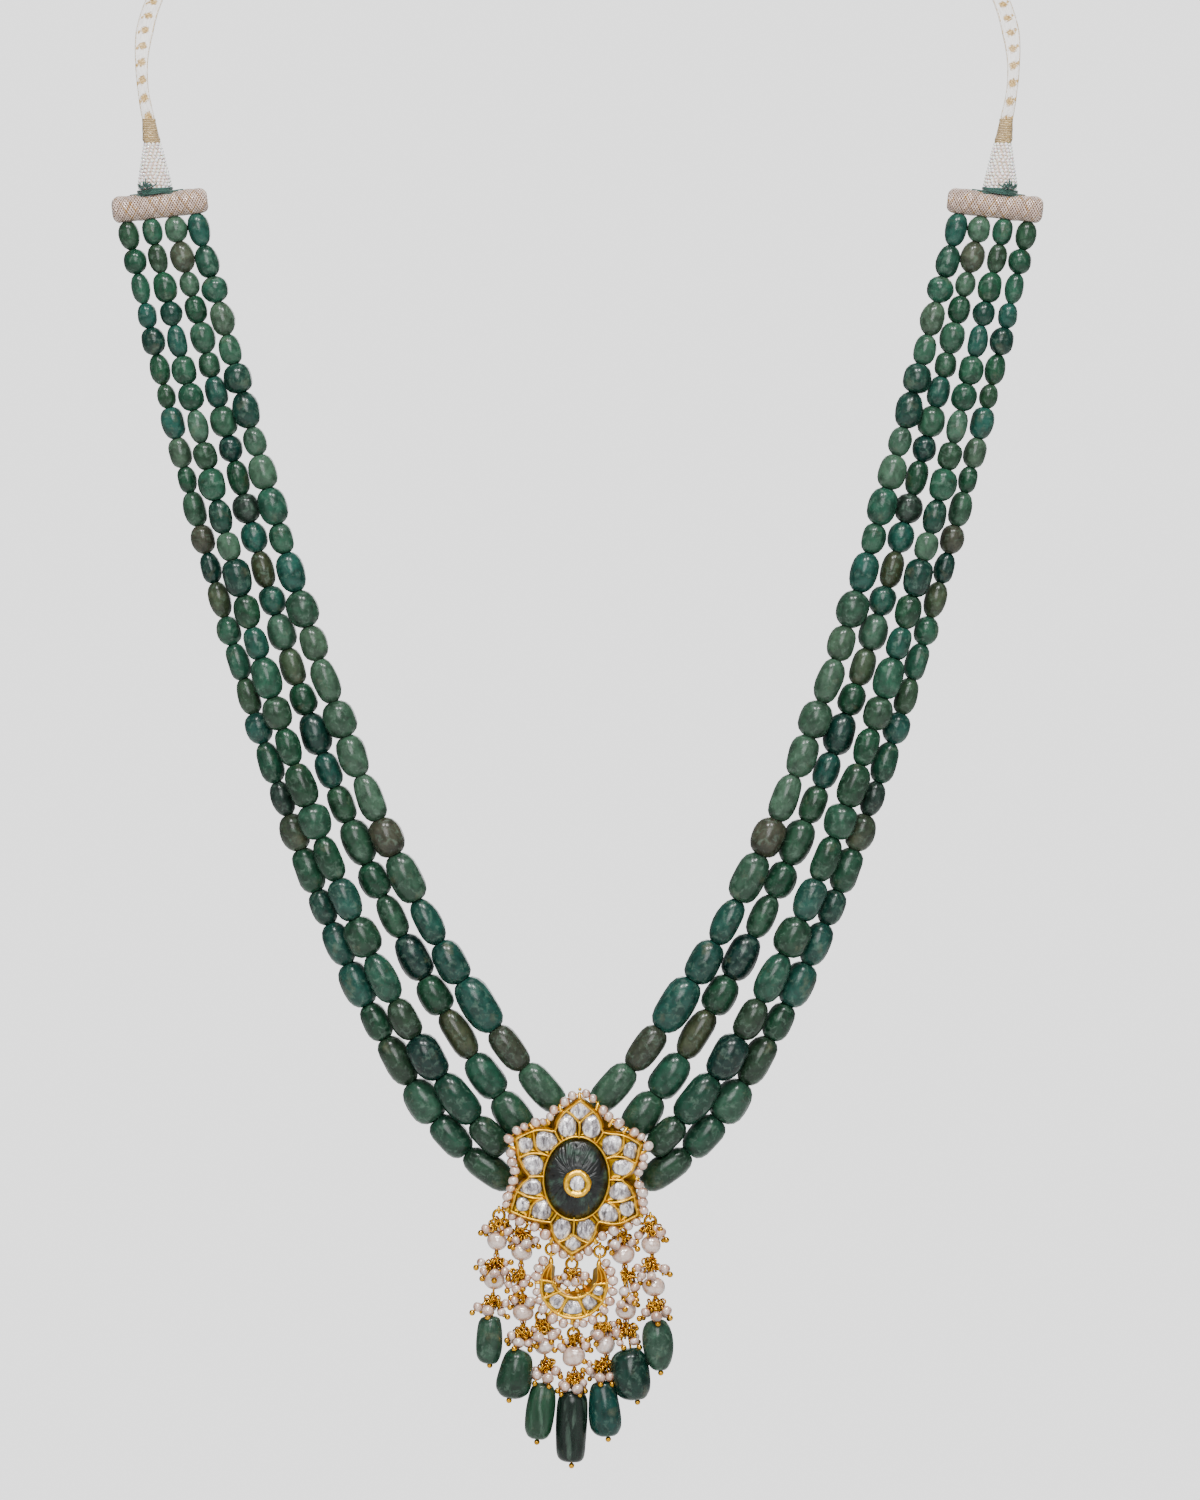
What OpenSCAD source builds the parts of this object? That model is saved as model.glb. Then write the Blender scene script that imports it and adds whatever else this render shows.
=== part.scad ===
// Emerald bead necklace with a stone-set flower pendant, a hinged crescent and seven dangles.
// Millimetres. +Z is up, the front faces -Y, and the origin is at the nape, in the middle of the ribbon.

/* [Neck loop] */
// Height of the nape above the flower's centre
nape_height = 385; // [370:5:420]
// Distance from the plane of the bead strings back to the nape
neck_depth = 110; // [100:5:125]
// Width of the ribbon where it goes round the neck
ribbon_width = 5; // [4:0.5:7]
// Thickness of the ribbon
ribbon_thickness = 1.1; // [0.8:0.1:1.4]

/* [Bead strings] */
// Gap between one bead and the next
bead_gap = 0.26; // [0.2:0.02:0.34]
// Radius of the hole through each bead
bead_bore_r = 0.5; // [0.45:0.05:0.6]
// Radius of the thread
thread_r = 0.22; // [0.2:0.02:0.26]
// Share by which a bead may be wider or narrower than its neighbours
width_wobble = 0.12; // [0:0.01:0.13]
// Share by which a bead may be longer or shorter than its neighbours
length_wobble = 0.14; // [0:0.01:0.18]
// How squarely a bead's side turns into its ends, where 2 is an ellipse
bead_fullness = 2.5; // [2:0.1:3]
// How far the strings lie to the front and the back of their common plane, as a share of the most
string_weave = 1; // [0.9:0.05:1.2]

/* [Top ends] */
// Length of the wound bar
bar_length = 27; // [25:0.5:29]
// Radius of the wound bar
bar_r = 3.7; // [3.5:0.1:3.9]
// Lean of the bar, with its outer end lower
bar_lean = 6.3; // [5:0.1:7]

/* [Flower] */
// Lean of the flower, clockwise seen from the front
lean = 2.9; // [0:0.1:4]
// Reach of the top and bottom petals
tall_petal = 21.7; // [21:0.1:22.5]
// Reach of the four side petals
side_petal = 20.3; // [19.8:0.1:21]
// Radius of a petal's round part
petal_r = 7.2; // [7:0.1:7.4]
// Thickness of the gold setting
setting_t = 3.4; // [3:0.1:4]
// Half width of the carved centre stone
carved_half_w = 8.7; // [8.3:0.1:8.8]
// Half height of the carved centre stone
carved_half_h = 11.2; // [10.8:0.1:11.3]

/* [Crescent] */
// Outer radius of the crescent
crescent_r = 9.3; // [9:0.1:9.6]
// Radius of the crescent's inner edge
crescent_inner_r = 6; // [5.8:0.1:6.2]
// Thickness of the crescent
crescent_t = 2.8; // [2.4:0.1:3]

/* [Hanging parts] */
// Radius of each ring, to the middle of its wire
ring_r = 1.55; // [1.45:0.05:1.65]
// Radius of the ring's wire
ring_wire_r = 0.3; // [0.26:0.02:0.32]
// Radius of the pins that carry pearls and drops
pin_r = 0.26; // [0.22:0.01:0.27]
// Radius of the hole through each pearl and drop
pearl_bore_r = 0.5; // [0.45:0.05:0.6]
// Radius of the gold ball under each drop
end_ball_r = 0.75; // [0.6:0.05:0.9]
// Radius of the strings of rim pearls
rim_string_r = 1.15; // [1:0.05:1.2]

/* [Hidden] */
$fn = 48;
SIDES = ["left", "right"];
PEARL_NAMES = ["1a", "1b", "2a", "2b", "3a", "4a", "5a", "6a", "6b", "7a", "7b"];

// The flower's centre is left of the strings' mirror line, and its back is in front of their plane
flower_x = -0.3;
flower_back_y = -4;
// Middle of the wound bar on the left, [x, z] from the flower's centre
bar_mid = [-117.1, 272.6];

// Strings of beads on the left, outermost first. Columns: number of beads, x under the bar, upper and
// lower guide points [x, z], foot [x, z], bead width at the top and at the foot, power by which the
// width grows between them, depth behind the strings' plane, and the post [x, z] behind the flower that
// holds the thread
STRINGS = [
    [30, -126.4, [-108.5, 182.5], [-67, 20.5], [-18.5, -2.5], 5.6, 9.6, 2.6, 3.6, [-13.6, -2]],
    [28, -120, [-98.5, 174.5], [-70.5, 54.5], [-20.5, 7], 5.7, 9, 1.3, -1.9, [-15.2, 8]],
    [28, -113.4, [-87, 162.5], [-71.5, 88.5], [-14.5, 12.5], 5.9, 8.6, 1.2, 2.2, [-11.4, 11.2]],
    [25, -107.2, [-81, 171.5], [-61.5, 79.5], [-5, 19.5], 6.4, 8.6, 0.9, -1.7, [-4.6, 16.6]],
];
// Angles that step the sizes along a string and from one string to the next, so that they look unsorted
width_step = [110, 194];
length_step = [226, 295];
curve_steps = 40;
// Bead lengths before they are fitted to the string, at the top and at the foot
bead_length_top = 7.2;
bead_length_foot = 13.6;
bar_clearance = 0.35;
thread_sides = 5;
post_r = 0.8;

// Petals: angle and reach
PETALS = [for (k = [0:5]) [90 - 60 * k, k % 3 == 0 ? tall_petal : side_petal]];
petal_neck = 9.2;
pear_r = 2.75;
pear_side = 3.35;
pear_point = [3.5, 0.55];
kite_half_l = 2.3;
kite_half_w = 2.55;
stone_clearance = 0.14;
pocket_floor = 2;
bezel_w = 0.75;
bezel_rise = 0.5;
flutes = 24;
rim_z = 2.4;
rim_offset = 1.75;
rim_sides = 6;

// Lugs and rings. Eyes lie on the back of the gold, behind the rim pearls
lug_z = -0.5;
eye_r = 0.98;
eye_bore_r = 0.62;
eye_l = 0.7;
// Side of a lug's square arm, and the share of the way out to its eye at which it starts on the gold
arm_w = 0.7;
arm_root = 0.72;
hinge_half_span = 6.8;
hinge_y = -21.85;
tip_ring_at = [-1.3, -24.1];

// Crescent, in the flower's leaning frame
crescent_mid = [0.8, -30.1];
crescent_inner_rise = 3.1;
crescent_top_cut = 6.9;
crescent_back = lug_z - crescent_t / 2;
crescent_lug_z = crescent_back + 0.15;
crescent_rim_z = crescent_back + 2.45;
crescent_floor = 1.4;
horn_root = [5.6, 5.2];
// Crescent stones: angle from its lowest point, half angle, inner and outer wall left beside the stone
CRESCENT_STONES = [
    [0, 24, 1.3, 1.1], [46, 17, 1.2, 1.1], [-46, 17, 1.2, 1.1], [83, 10, 1.3, 1.1], [-83, 10, 1.3, 1.1],
];

// Dangles, [x, z] from the flower's centre. Columns: the pin's path from the ring's middle to the end
// ball, pearls as [z, radius], pearl bunches as [z, radius, whether a pearl sits in it], and the drop as
// [z, width, length, how far to the right of the pin its middle is, how egg-shaped it is]
DANGLES = [
    [[[-21.7, -10.5], [-22.4, -22.3], [-23.4, -34], [-24.3, -52.5]],
     [[-17.7, 2.75], [-28.6, 2.9]], [[-17.7, 3.3, true], [-28.6, 3.9, true], [-37.4, 3.6, false]],
     [-45.3, 7.1, 13, -0.4, 0.03]],
    [[[-15.3, -12.9], [-15.5, -25], [-14.9, -40.8], [-15.4, -43.2], [-18.9, -62.3]],
     [[-20.7, 2.85], [-37.7, 2.7]], [[-20.7, 3.1, true], [-29, 2.3, false], [-37.7, 3, true], [-45.9, 3.3, false]],
     [-54.6, 9.3, 14, 0.2, 0.1]],
    [[[-9.8, -39], [-8.6, -52], [-11.1, -74.1]],
     [[-47.2, 2.6]], [[-47.2, 2.9, true], [-56, 2.9, false]],
     [-65.4, 8, 15.8, 0, 0.08]],
    [[[-0.8, -43.7], [-0.6, -55], [-1.4, -80.7]],
     [[-50.1, 3.05]], [[-50.1, 3.5, true], [-59.2, 3.6, false]],
     [-69.7, 8.7, 20, -0.3, 0]],
    [[[6.9, -39.6], [8.5, -50], [7.3, -52.2], [8.9, -73.3]],
     [[-46.9, 2.6]], [[-46.9, 2.8, true], [-55.9, 2.4, false]],
     [-64.9, 8.5, 15, -0.4, 0.14]],
    [[[12.4, -15.3], [13.6, -25.4], [13.9, -40.6], [14.5, -42.8], [17.1, -62.8]],
     [[-21.5, 3.05], [-37.2, 2.7]], [[-21.5, 3.4, true], [-29.4, 2.2, false], [-37.2, 3, true], [-45.5, 3.3, false]],
     [-54.7, 9.9, 14.6, -0.7, 0.02]],
    [[[20.7, -12.2], [21.2, -23.4], [22.1, -35], [23.6, -54.6]],
     [[-18.7, 2.65], [-30.4, 3.1]], [[-18.7, 3.6, true], [-30.4, 4, true], [-38.4, 3.7, false]],
     [-46.8, 8.1, 14.2, 0.1, 0.03]],
];
// Dangles 3, 4 and 5 hang from the crescent, the others from the flower
function on_crescent(i) = i >= 3 && i <= 5;
// Height of a bunch of seed pearls above the pearl in it, height of one with no pearl, and depth of its foot
bunch_rise = 1.8;
plain_bunch_h = 3;
bunch_foot = 0.9;

// Height above the flower's centre of the bar's underside at x
function bar_underside(x) =
    bar_mid[1] + (x - bar_mid[0]) * tan(bar_lean) - bar_r / cos(bar_lean) - bar_clearance;

function unit(v) = v / norm(v);
function turned(p, a) = [p[0] * cos(a) - p[1] * sin(a), p[0] * sin(a) + p[1] * cos(a)];
function mix(a, b, t) = a + (b - a) * t;
function bezier(p, t) =
    pow(1 - t, 3) * p[0] + 3 * pow(1 - t, 2) * t * p[1] + 3 * (1 - t) * t * t * p[2] + pow(t, 3) * p[3];
// Distance run along a list of points, at each of them
function runs(pts) = [
    for (i = 0, s = 0; i < len(pts); s = s + (i + 1 < len(pts) ? norm(pts[i + 1] - pts[i]) : 0), i = i + 1) s
];
// Sum of the first n values
function sum_to(v, n) = n <= 0 ? 0 : v[n - 1] + sum_to(v, n - 1);

// Moves from the flower's centre to the origin at the nape
module worn() {
    translate([0, -neck_depth, -nape_height]) children();
}

module on_side(side) {
    worn() mirror([side == "left" ? 0 : 1, 0, 0]) children();
}

// Turns z to the direction d
module aim(d) {
    rotate([0, acos(unit(d)[2]), atan2(d[1], d[0])]) children();
}

// A tube through points, with rings square to its path. across is a direction that the path never takes
module tube(pts, r, sides, across, closed = false) {
    n = len(pts);
    rings = [
        for (i = [0 : n - 1])
        let (
            before = pts[closed ? (i + n - 1) % n : max(i - 1, 0)],
            after = pts[closed ? (i + 1) % n : min(i + 1, n - 1)],
            t = unit(after - before),
            u = unit(cross(t, across)),
            v = cross(t, u)
        )
        for (j = [0 : sides - 1]) pts[i] + r * (cos(360 * j / sides) * u + sin(360 * j / sides) * v)
    ];
    skin_faces(rings, n, sides, closed);
}

// Skins rings of points, each ring turning to the right about the path
module skin_faces(rings, n, sides, closed = false) {
    walls = [
        for (i = [0 : closed ? n - 1 : n - 2], j = [0 : sides - 1])
        let (a = i * sides, b = ((i + 1) % n) * sides, k = (j + 1) % sides)
        each [[a + j, a + k, b + k], [a + j, b + k, b + j]]
    ];
    caps = closed ? [] : [[for (j = [sides - 1 : -1 : 0]) j], [for (j = [0 : sides - 1]) (n - 1) * sides + j]];
    polyhedron(rings, concat(walls, caps));
}

// A solid of round or oval rings stacked in z. Columns: x, z, width, depth
module oval_stack(rows, sides) {
    rings = [
        for (row = rows, j = [0 : sides - 1])
        [row[0] + row[2] / 2 * cos(360 * j / sides), -row[3] / 2 * sin(360 * j / sides), row[1]]
    ];
    skin_faces(rings, len(rows), sides);
}

// Half width of a tumbled stone of half width w at share t of its half length
function tumbled(w, t, fullness) = w * pow(1 - pow(abs(t), fullness), 1 / fullness);

// A drilled stone with blunt ends, along z, centred
module tumbled_stone(width, length, bore, egg = 0) {
    ends = [-1, -0.93, -0.78, -0.55, -0.25, 0.1, 0.42, 0.68, 0.86, 0.96, 1];
    outer = [for (t = ends) [tumbled(width / 2, t * 0.985, bead_fullness) * (1 - egg * t), t * length / 2]];
    rotate_extrude() polygon(concat([[bore, -length / 2]], outer, [[bore, length / 2]]));
}

// Guide points of a string, in space
function string_guides(s) = [
    [s[1], 0, bar_underside(s[1])], [s[2][0], 0, s[2][1]], [s[3][0], 0, s[3][1]], [s[4][0], 0, s[4][1]],
];
// A string leaves the common plane over its first third, and one that lies in front comes back at its foot
function string_depth(s, t) =
    let (rise = min((t + 0.02) / 0.3, 1))
    string_weave * s[8] * rise * rise * (3 - 2 * rise) * (s[8] < 0 ? 1 - pow(t, 5) : 1);
function string_at(s, t) = bezier(string_guides(s), t) + [0, string_depth(s, t), 0];

// Length of bead i of a string before fitting, and its width
function rough_length(s, k, i) =
    mix(bead_length_top, bead_length_foot, pow(i / s[0], 1.8)) *
    (1 + length_wobble * sin(length_step[0] * i + length_step[1] * k));
function bead_width(s, k, i) =
    mix(s[5], s[6], pow(i / s[0], s[7])) *
    (1 + width_wobble * sin(width_step[0] * i + width_step[1] * k));

// The points between the beads of a string, where each bead fills its share of the curve
function bead_ends(k) =
    let (
        s = STRINGS[k],
        run = runs([for (i = [0 : curve_steps]) string_at(s, i / curve_steps)]),
        share = [for (i = [0 : curve_steps]) [run[i], i / curve_steps]],
        rough = [for (i = [0 : s[0] - 1]) rough_length(s, k, i)],
        fit = run[curve_steps] / sum_to(rough, s[0])
    )
    [for (i = [0 : s[0]]) string_at(s, lookup(fit * sum_to(rough, i), share))];

// One string of beads
module bead_string(k) {
    ends = bead_ends(k);
    for (i = [0 : len(ends) - 2])
        translate((ends[i] + ends[i + 1]) / 2) aim(ends[i + 1] - ends[i]) tumbled_stone(
            bead_width(STRINGS[k], k, i), norm(ends[i + 1] - ends[i]) - bead_gap, bead_bore_r
        );
}

module strand(side, k) {
    color("seagreen") on_side(side) bead_string(k - 1);
}

// The thread runs through the beads to its post behind the flower
module thread(side, k) {
    s = STRINGS[k - 1];
    ends = bead_ends(k - 1);
    post = [s[9][0], 0, s[9][1]];
    foot = ends[s[0]];
    stop = post + (post_r + thread_r + 0.1) * unit([foot[0] - post[0], 0, foot[2] - post[2]]);
    color("darkslategray") on_side(side)
        tube(concat(ends, [mix(foot, stop, 0.5), stop]), thread_r, thread_sides, [0, 1, 0]);
}

// Bar wound with metallic thread
module bar(side) {
    half = bar_length / 2;
    corner = 2.2;
    color("rosybrown") on_side(side) translate([bar_mid[0], 0, bar_mid[1]]) rotate([0, 90 - bar_lean, 0])
        rotate_extrude() {
            translate([0, -half + corner]) square([bar_r, bar_length - 2 * corner]);
            translate([0, -half]) square([bar_r - corner, bar_length]);
            for (end = [-1, 1]) translate([bar_r - corner, end * (half - corner)]) intersection() {
                circle(corner);
                translate([0, end > 0 ? 0 : -corner]) square(corner);
            }
        }
}

// Sleeve of white seed beads. Columns: x, z, width, depth
module cone(side) {
    rows = [
        [-118.5, 276.9, 9.2, 6.6], [-118.6, 278.4, 9.6, 7], [-118.8, 282, 8.4, 6.4], [-119, 286, 6.7, 5.6],
        [-119.2, 289.4, 5.3, 4.7], [-119.2, 290, 4.8, 4.2],
    ];
    color("ivory") on_side(side) oval_stack(rows, 20);
}

// Whipping of gold thread. Columns: x, z, width, depth
module wrap(side) {
    rows = [[-119.3, 290.2, 4.7, 4], [-119.5, 291, 5, 4.2], [-119.9, 293.6, 4.3, 3.4], [-120.2, 296.3, 3.8, 2.4]];
    color("goldenrod") on_side(side) oval_stack(rows, 20);
}

// Left half of the ribbon's path from the whipping to the nape
ribbon_steps = 30;
RIBBON_GUIDES = [[-120.3, 0, 296.8], [-134, 0, 352], [-80, neck_depth, nape_height], [0, neck_depth, nape_height]];
// Share of the full width along the half ribbon, narrow where the whipping gathers it
RIBBON_WIDTHS = [[0, 0.72], [0.05, 0.62], [0.1, 0.72], [0.16, 1], [1, 1]];

// One oval section of the ribbon. Its width turns from the x direction at the front to z at the nape
function ribbon_ring(t) =
    let (
        e = 0.001,
        tangent = unit(bezier(RIBBON_GUIDES, t + e) - bezier(RIBBON_GUIDES, t - e)),
        roll = 90 * pow(max(t - 0.15, 0) / 0.85, 1.2),
        wanted = [cos(roll), 0, sin(roll)],
        wide = unit(wanted - (wanted * tangent) * tangent),
        thick = cross(tangent, wide),
        w = ribbon_width * lookup(t, RIBBON_WIDTHS) / 2,
        h = ribbon_thickness / 2
    )
    [for (c = [[-1, 0], [-0.85, -1], [0.85, -1], [1, 0], [0.85, 1], [-0.85, 1]])
        bezier(RIBBON_GUIDES, t) + c[0] * w * wide + c[1] * h * thick];

module ribbon() {
    half = [for (i = [0 : ribbon_steps]) ribbon_ring(i / ribbon_steps)];
    other = [for (i = [ribbon_steps - 1 : -1 : 0]) [for (p = half[i]) [-p[0], p[1], p[2]]]];
    rings = concat(half, other);
    color("whitesmoke") worn() skin_faces([for (r = rings) each r], len(rings), 6);
}

// The flower's own frame: x to the right, y up, z towards the viewer, from its back face
module on_face() {
    worn() translate([flower_x, flower_back_y, 0]) rotate([90, 0, 0]) rotate(-lean) children();
}

// A point given level, [x, z] from the flower's centre, in the leaning frame
function leaning(p) = turned(p, lean);

module oval(half_w, half_h) {
    polygon([for (a = [0 : 7.5 : 359]) [half_w * cos(a), half_h * sin(a)]]);
}

// A petal that points along x: a round part and a straight-sided tip
module petal_outline(reach, grow = 0) {
    r = petal_r + grow;
    tip = reach + grow / sin(asin(petal_r / petal_neck));
    across = tip - (reach - petal_neck);
    half_angle = asin(r / across);
    shoulder = [tip - across * pow(cos(half_angle), 2), across * cos(half_angle) * sin(half_angle)];
    translate([reach - petal_neck, 0]) circle(r);
    polygon([[tip, 0], shoulder, [reach - petal_neck, 0], [shoulder[0], -shoulder[1]]]);
}

module at_petals() {
    for (petal = PETALS) rotate(petal[0]) {
        $reach = petal[1];
        children();
    }
}

// Middle of a petal's pear stones, from the flower's centre along the petal
function pear_mid(reach) = reach - (reach == tall_petal ? 7.7 : 7.45);

// Outline of a pear stone, grown by g, that points outwards along x
function pear_outline(g) =
    concat([pear_point + [0.9 * g, 0]], [for (a = [46 : 33.5 : 314]) (pear_r + g) * [cos(a), sin(a)]]);

// Outline of a tip stone with clipped corners, grown by g
function kite_outline(g) =
    let (w = kite_half_w + 1.3 * g, l = kite_half_l + 1.3 * g, corners = [[l, 0], [0, w], [-l, 0], [0, -w]])
    [for (i = [0:3]) each [mix(corners[i], corners[(i + 3) % 4], 0.2), mix(corners[i], corners[(i + 1) % 4], 0.2)]];

module at_petal_stones() {
    at_petals() {
        for (side = [-1, 1]) translate([pear_mid($reach), side * pear_side]) mirror([0, side < 0 ? 1 : 0]) {
            $kite = false;
            children();
        }
        translate([$reach - 3.3, 0]) {
            $kite = true;
            children();
        }
    }
}

// A flat cut stone: straight girdle, sloped facets and a table
module cut_stone(outline, base, girdle, table) {
    n = len(outline);
    rings = concat(
        [for (p = outline) [p[0], p[1], base]],
        [for (p = outline) [p[0], p[1], girdle]],
        [for (p = outline) [p[0] * 0.6, p[1] * 0.6, table]]
    );
    skin_faces(rings, 3, n);
}

// Arm and eye of a lug, behind the gold. to is the eye's middle and from the arm's root, in the face frame.
// turn is 0 for a ring that leans with the flower and lean for one that hangs level. side is 1 for an arm
// that meets its eye from above and -1 from below, clear of the ring
module lug(from, to, z, turn, side = 1) {
    meet = to + side * (eye_r - 0.06) * [-sin(turn), cos(turn)];
    dir = meet - from;
    translate([from[0], from[1], z]) rotate(atan2(dir[1], dir[0])) translate([0, -arm_w / 2, -arm_w / 4])
        cube([norm(dir) + arm_w / 4, arm_w, 1.3 * arm_w]);
    eye(to, z, turn);
}

module eye(to, z, turn) {
    translate([to[0], to[1], z]) rotate([0, 0, turn]) rotate([0, 90, 0]) difference() {
        cylinder(h = eye_l, r = eye_r, center = true);
        cylinder(h = 2 * eye_l, r = eye_bore_r, center = true);
    }
}

// Middle of the lug eye for a ring whose middle is p, level
function eye_for(p) = leaning([p[0], p[1] + ring_r]);
function hinge_point(s) = [crescent_mid[0] + s * hinge_half_span, hinge_y];

module star_setting() {
    color("gold") on_face() {
        difference() {
            union() {
                linear_extrude(setting_t) {
                    at_petals() petal_outline($reach);
                    oval(carved_half_w + bezel_w, carved_half_h + bezel_w);
                }
                linear_extrude(setting_t + bezel_rise) oval(carved_half_w + bezel_w, carved_half_h + bezel_w);
            }
            translate([0, 0, pocket_floor]) {
                linear_extrude(setting_t)
                    oval(carved_half_w + stone_clearance, carved_half_h + stone_clearance);
                at_petal_stones() linear_extrude(setting_t)
                    polygon($kite ? kite_outline(stone_clearance) : pear_outline(stone_clearance));
            }
        }
        star_lugs();
    }
    for (side = SIDES, s = STRINGS) color("gold") on_side(side)
        translate([s[9][0], 1.2, s[9][1]]) rotate([90, 0, 0]) cylinder(h = 1.7 - flower_back_y, r = post_r);
}

// Lugs for the crescent's rings, the tip ring and dangles 1, 2, 6 and 7
module star_lugs() {
    for (s = [-1, 1]) {
        ring_top = hinge_point(s) + [0, 2 * ring_r];
        lug([s * 4.2, -15.5], ring_top, lug_z, 0);
    }
    lug([0, -20.5], eye_for(tip_ring_at), lug_z, lean);
    for (i = [1, 2, 6, 7]) {
        to = eye_for(DANGLES[i - 1][0][0]);
        lug(arm_root * to, to, lug_z, lean);
    }
}

module petal_stones() {
    color("lightgray") on_face() at_petal_stones()
        cut_stone($kite ? kite_outline(0) : pear_outline(0), pocket_floor + 0.1, setting_t - 0.3, setting_t + 0.5);
}

// Carved oval stone. Columns: share of the half widths, height, depth of the flutes
module centre_stone() {
    rows = [[1, 2.1, 0], [1, 3.3, 0], [0.98, 3.9, 0.02], [0.9, 4.6, 0.05], [0.7, 5.1, 0.08], [0.46, 5.3, 0.04]];
    sides = 2 * flutes;
    rings = [
        for (row = rows, j = [0 : sides - 1])
        let (a = 360 * j / sides, share = row[0] * (1 - row[2] * (j % 2)))
        [carved_half_w * share * cos(a), carved_half_h * share * sin(a), row[1] - 3 * row[2] * (j % 2)]
    ];
    color("darkolivegreen") on_face() skin_faces(rings, len(rows), sides);
}

// Collet on the carved stone. Columns: radius, height
collet_mid = [0.3, -1.3];
collet_base = 5.45;
module centre_collet() {
    profile = [[0, 0], [3.7, 0], [3.9, 0.4], [3.75, 1], [3.3, 1.3], [2.8, 1.1], [2.35, 0.5], [0, 0.5]];
    color("gold") on_face() translate([collet_mid[0], collet_mid[1], collet_base]) rotate_extrude() polygon(profile);
}

module centre_polki() {
    outline = [for (a = [0 : 36 : 324]) 2.1 * [cos(a), sin(a)]];
    color("lightgray") on_face() translate([collet_mid[0], collet_mid[1], collet_base + 0.6])
        cut_stone(outline, 0, 0.3, 0.7);
}

// Path of the rim pearls round one petal, in its own frame, from its first valley to its tip's far side
function rim_path(petal) =
    let (
        reach = petal[1],
        mid = reach - petal_neck,
        r = petal_r + rim_offset,
        shoulder = 90 - asin(petal_r / petal_neck),
        valley_mid = (tall_petal + side_petal) / 2 - petal_neck,
        valley_r = valley_mid * cos(30) + sqrt(r * r - pow(valley_mid * sin(30), 2))
    )
    concat(
        [[valley_r * cos(30), valley_r * sin(30)]],
        [for (a = [58, 48, shoulder]) [mid + r * cos(a), r * sin(a)]],
        [for (a = [shoulder, 0, -shoulder]) [reach + rim_offset * cos(a), rim_offset * sin(a)]],
        [for (a = [-shoulder, -48, -58]) [mid + r * cos(a), r * sin(a)]]
    );

// String of seed pearls round the flower
module rim_pearls() {
    flat = [for (petal = PETALS) each [for (p = rim_path(petal)) turned(p, petal[0])]];
    color("mistyrose") on_face() tube([for (p = flat) [p[0], p[1], rim_z]], rim_string_r, rim_sides, [0, 0, 1], true);
}

module wire_ring() {
    rotate_extrude() translate([ring_r, 0]) circle(ring_wire_r);
}

// Ring between the flower and the crescent. s is -1 on the left and 1 on the right
module hinge_ring(s) {
    at = hinge_point(s) + [0, ring_r];
    color("gold") on_face() translate([at[0], at[1], lug_z]) wire_ring();
}

// A rod between two points
module rod(a, b, r) {
    translate(a) aim(b - a) cylinder(h = norm(b - a), r = r);
}

// Reach of the crescent's inner edge from its middle, at an angle
function inner_reach(a) =
    crescent_inner_rise * sin(a) + sqrt(pow(crescent_inner_r, 2) - pow(crescent_inner_rise * cos(a), 2));

// Outline of a crescent stone with clipped corners, about its own middle
function wedge_mid(row) =
    let (a = row[0] - 90) (inner_reach(a) + row[2] + crescent_r - row[3]) / 2 * [cos(a), sin(a)];
function wedge_outline(row, g) =
    let (
        a = row[0] - 90,
        half = row[1] + 9 * g,
        near = inner_reach(a) + row[2] - g,
        far = crescent_r - row[3] + g,
        corners = [for (c = [[near, -half], [far, -half], [far, half], [near, half]])
            c[0] * [cos(a + c[1]), sin(a + c[1])] - wedge_mid(row)]
    )
    [for (i = [0:3]) each [mix(corners[i], corners[(i + 3) % 4], 0.16), mix(corners[i], corners[(i + 1) % 4], 0.16)]];

module on_crescent_face() {
    on_face() translate([crescent_mid[0], crescent_mid[1], 0]) children();
}

// Gold crescent with an eye on each horn and lugs for three dangles
module crescent_frame() {
    color("gold") {
        on_crescent_face() difference() {
            translate([0, 0, crescent_back]) linear_extrude(crescent_t) difference() {
                circle(crescent_r);
                translate([0, crescent_inner_rise]) circle(crescent_inner_r);
                polygon([
                    [-crescent_r, crescent_r], [-6.3, crescent_top_cut], [-3, crescent_top_cut - 2.4],
                    [3, crescent_top_cut - 2.4], [6.3, crescent_top_cut], [crescent_r, crescent_r],
                ]);
            }
            for (row = CRESCENT_STONES) translate([wedge_mid(row)[0], wedge_mid(row)[1], crescent_back + crescent_floor])
                linear_extrude(crescent_t) polygon(wedge_outline(row, stone_clearance));
        }
        on_face() {
            for (s = [-1, 1]) lug(crescent_mid + [s * horn_root[0], horn_root[1]], hinge_point(s), lug_z, 0, -1);
            for (i = [3:5]) {
                to = eye_for(DANGLES[i - 1][0][0]);
                lug(mix(crescent_mid, to, arm_root), to, crescent_lug_z, lean);
            }
        }
    }
}

module crescent_stones() {
    color("lightgray") on_crescent_face()
        for (row = CRESCENT_STONES) translate([wedge_mid(row)[0], wedge_mid(row)[1], 0])
            cut_stone(wedge_outline(row, 0), crescent_back + crescent_floor + 0.1, crescent_back + 2.5, crescent_back + 3.2);
}

// String of seed pearls round the crescent
module crescent_pearls() {
    r = crescent_r + 1.55;
    pts = [for (a = [-212 : 11 : 32]) [r * cos(a), r * sin(a), crescent_rim_z]];
    color("mistyrose") on_crescent_face() tube(pts, rim_string_r - 0.1, rim_sides, [0, 0, 1]);
}

// Depth of the plane that a dangle hangs in
function dangle_y(i) = flower_back_y - (on_crescent(i) ? crescent_lug_z : lug_z);

// Place and lean of a dangle's pin at height z
function pin_at(path, z) =
    let (
        k = [for (j = [0 : len(path) - 2]) if (z <= path[j][1] && z >= path[j + 1][1]) j][0],
        a = path[k],
        b = path[k + 1]
    )
    [mix(a, b, (a[1] - z) / (a[1] - b[1])), atan2(b[0] - a[0], a[1] - b[1])];

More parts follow.
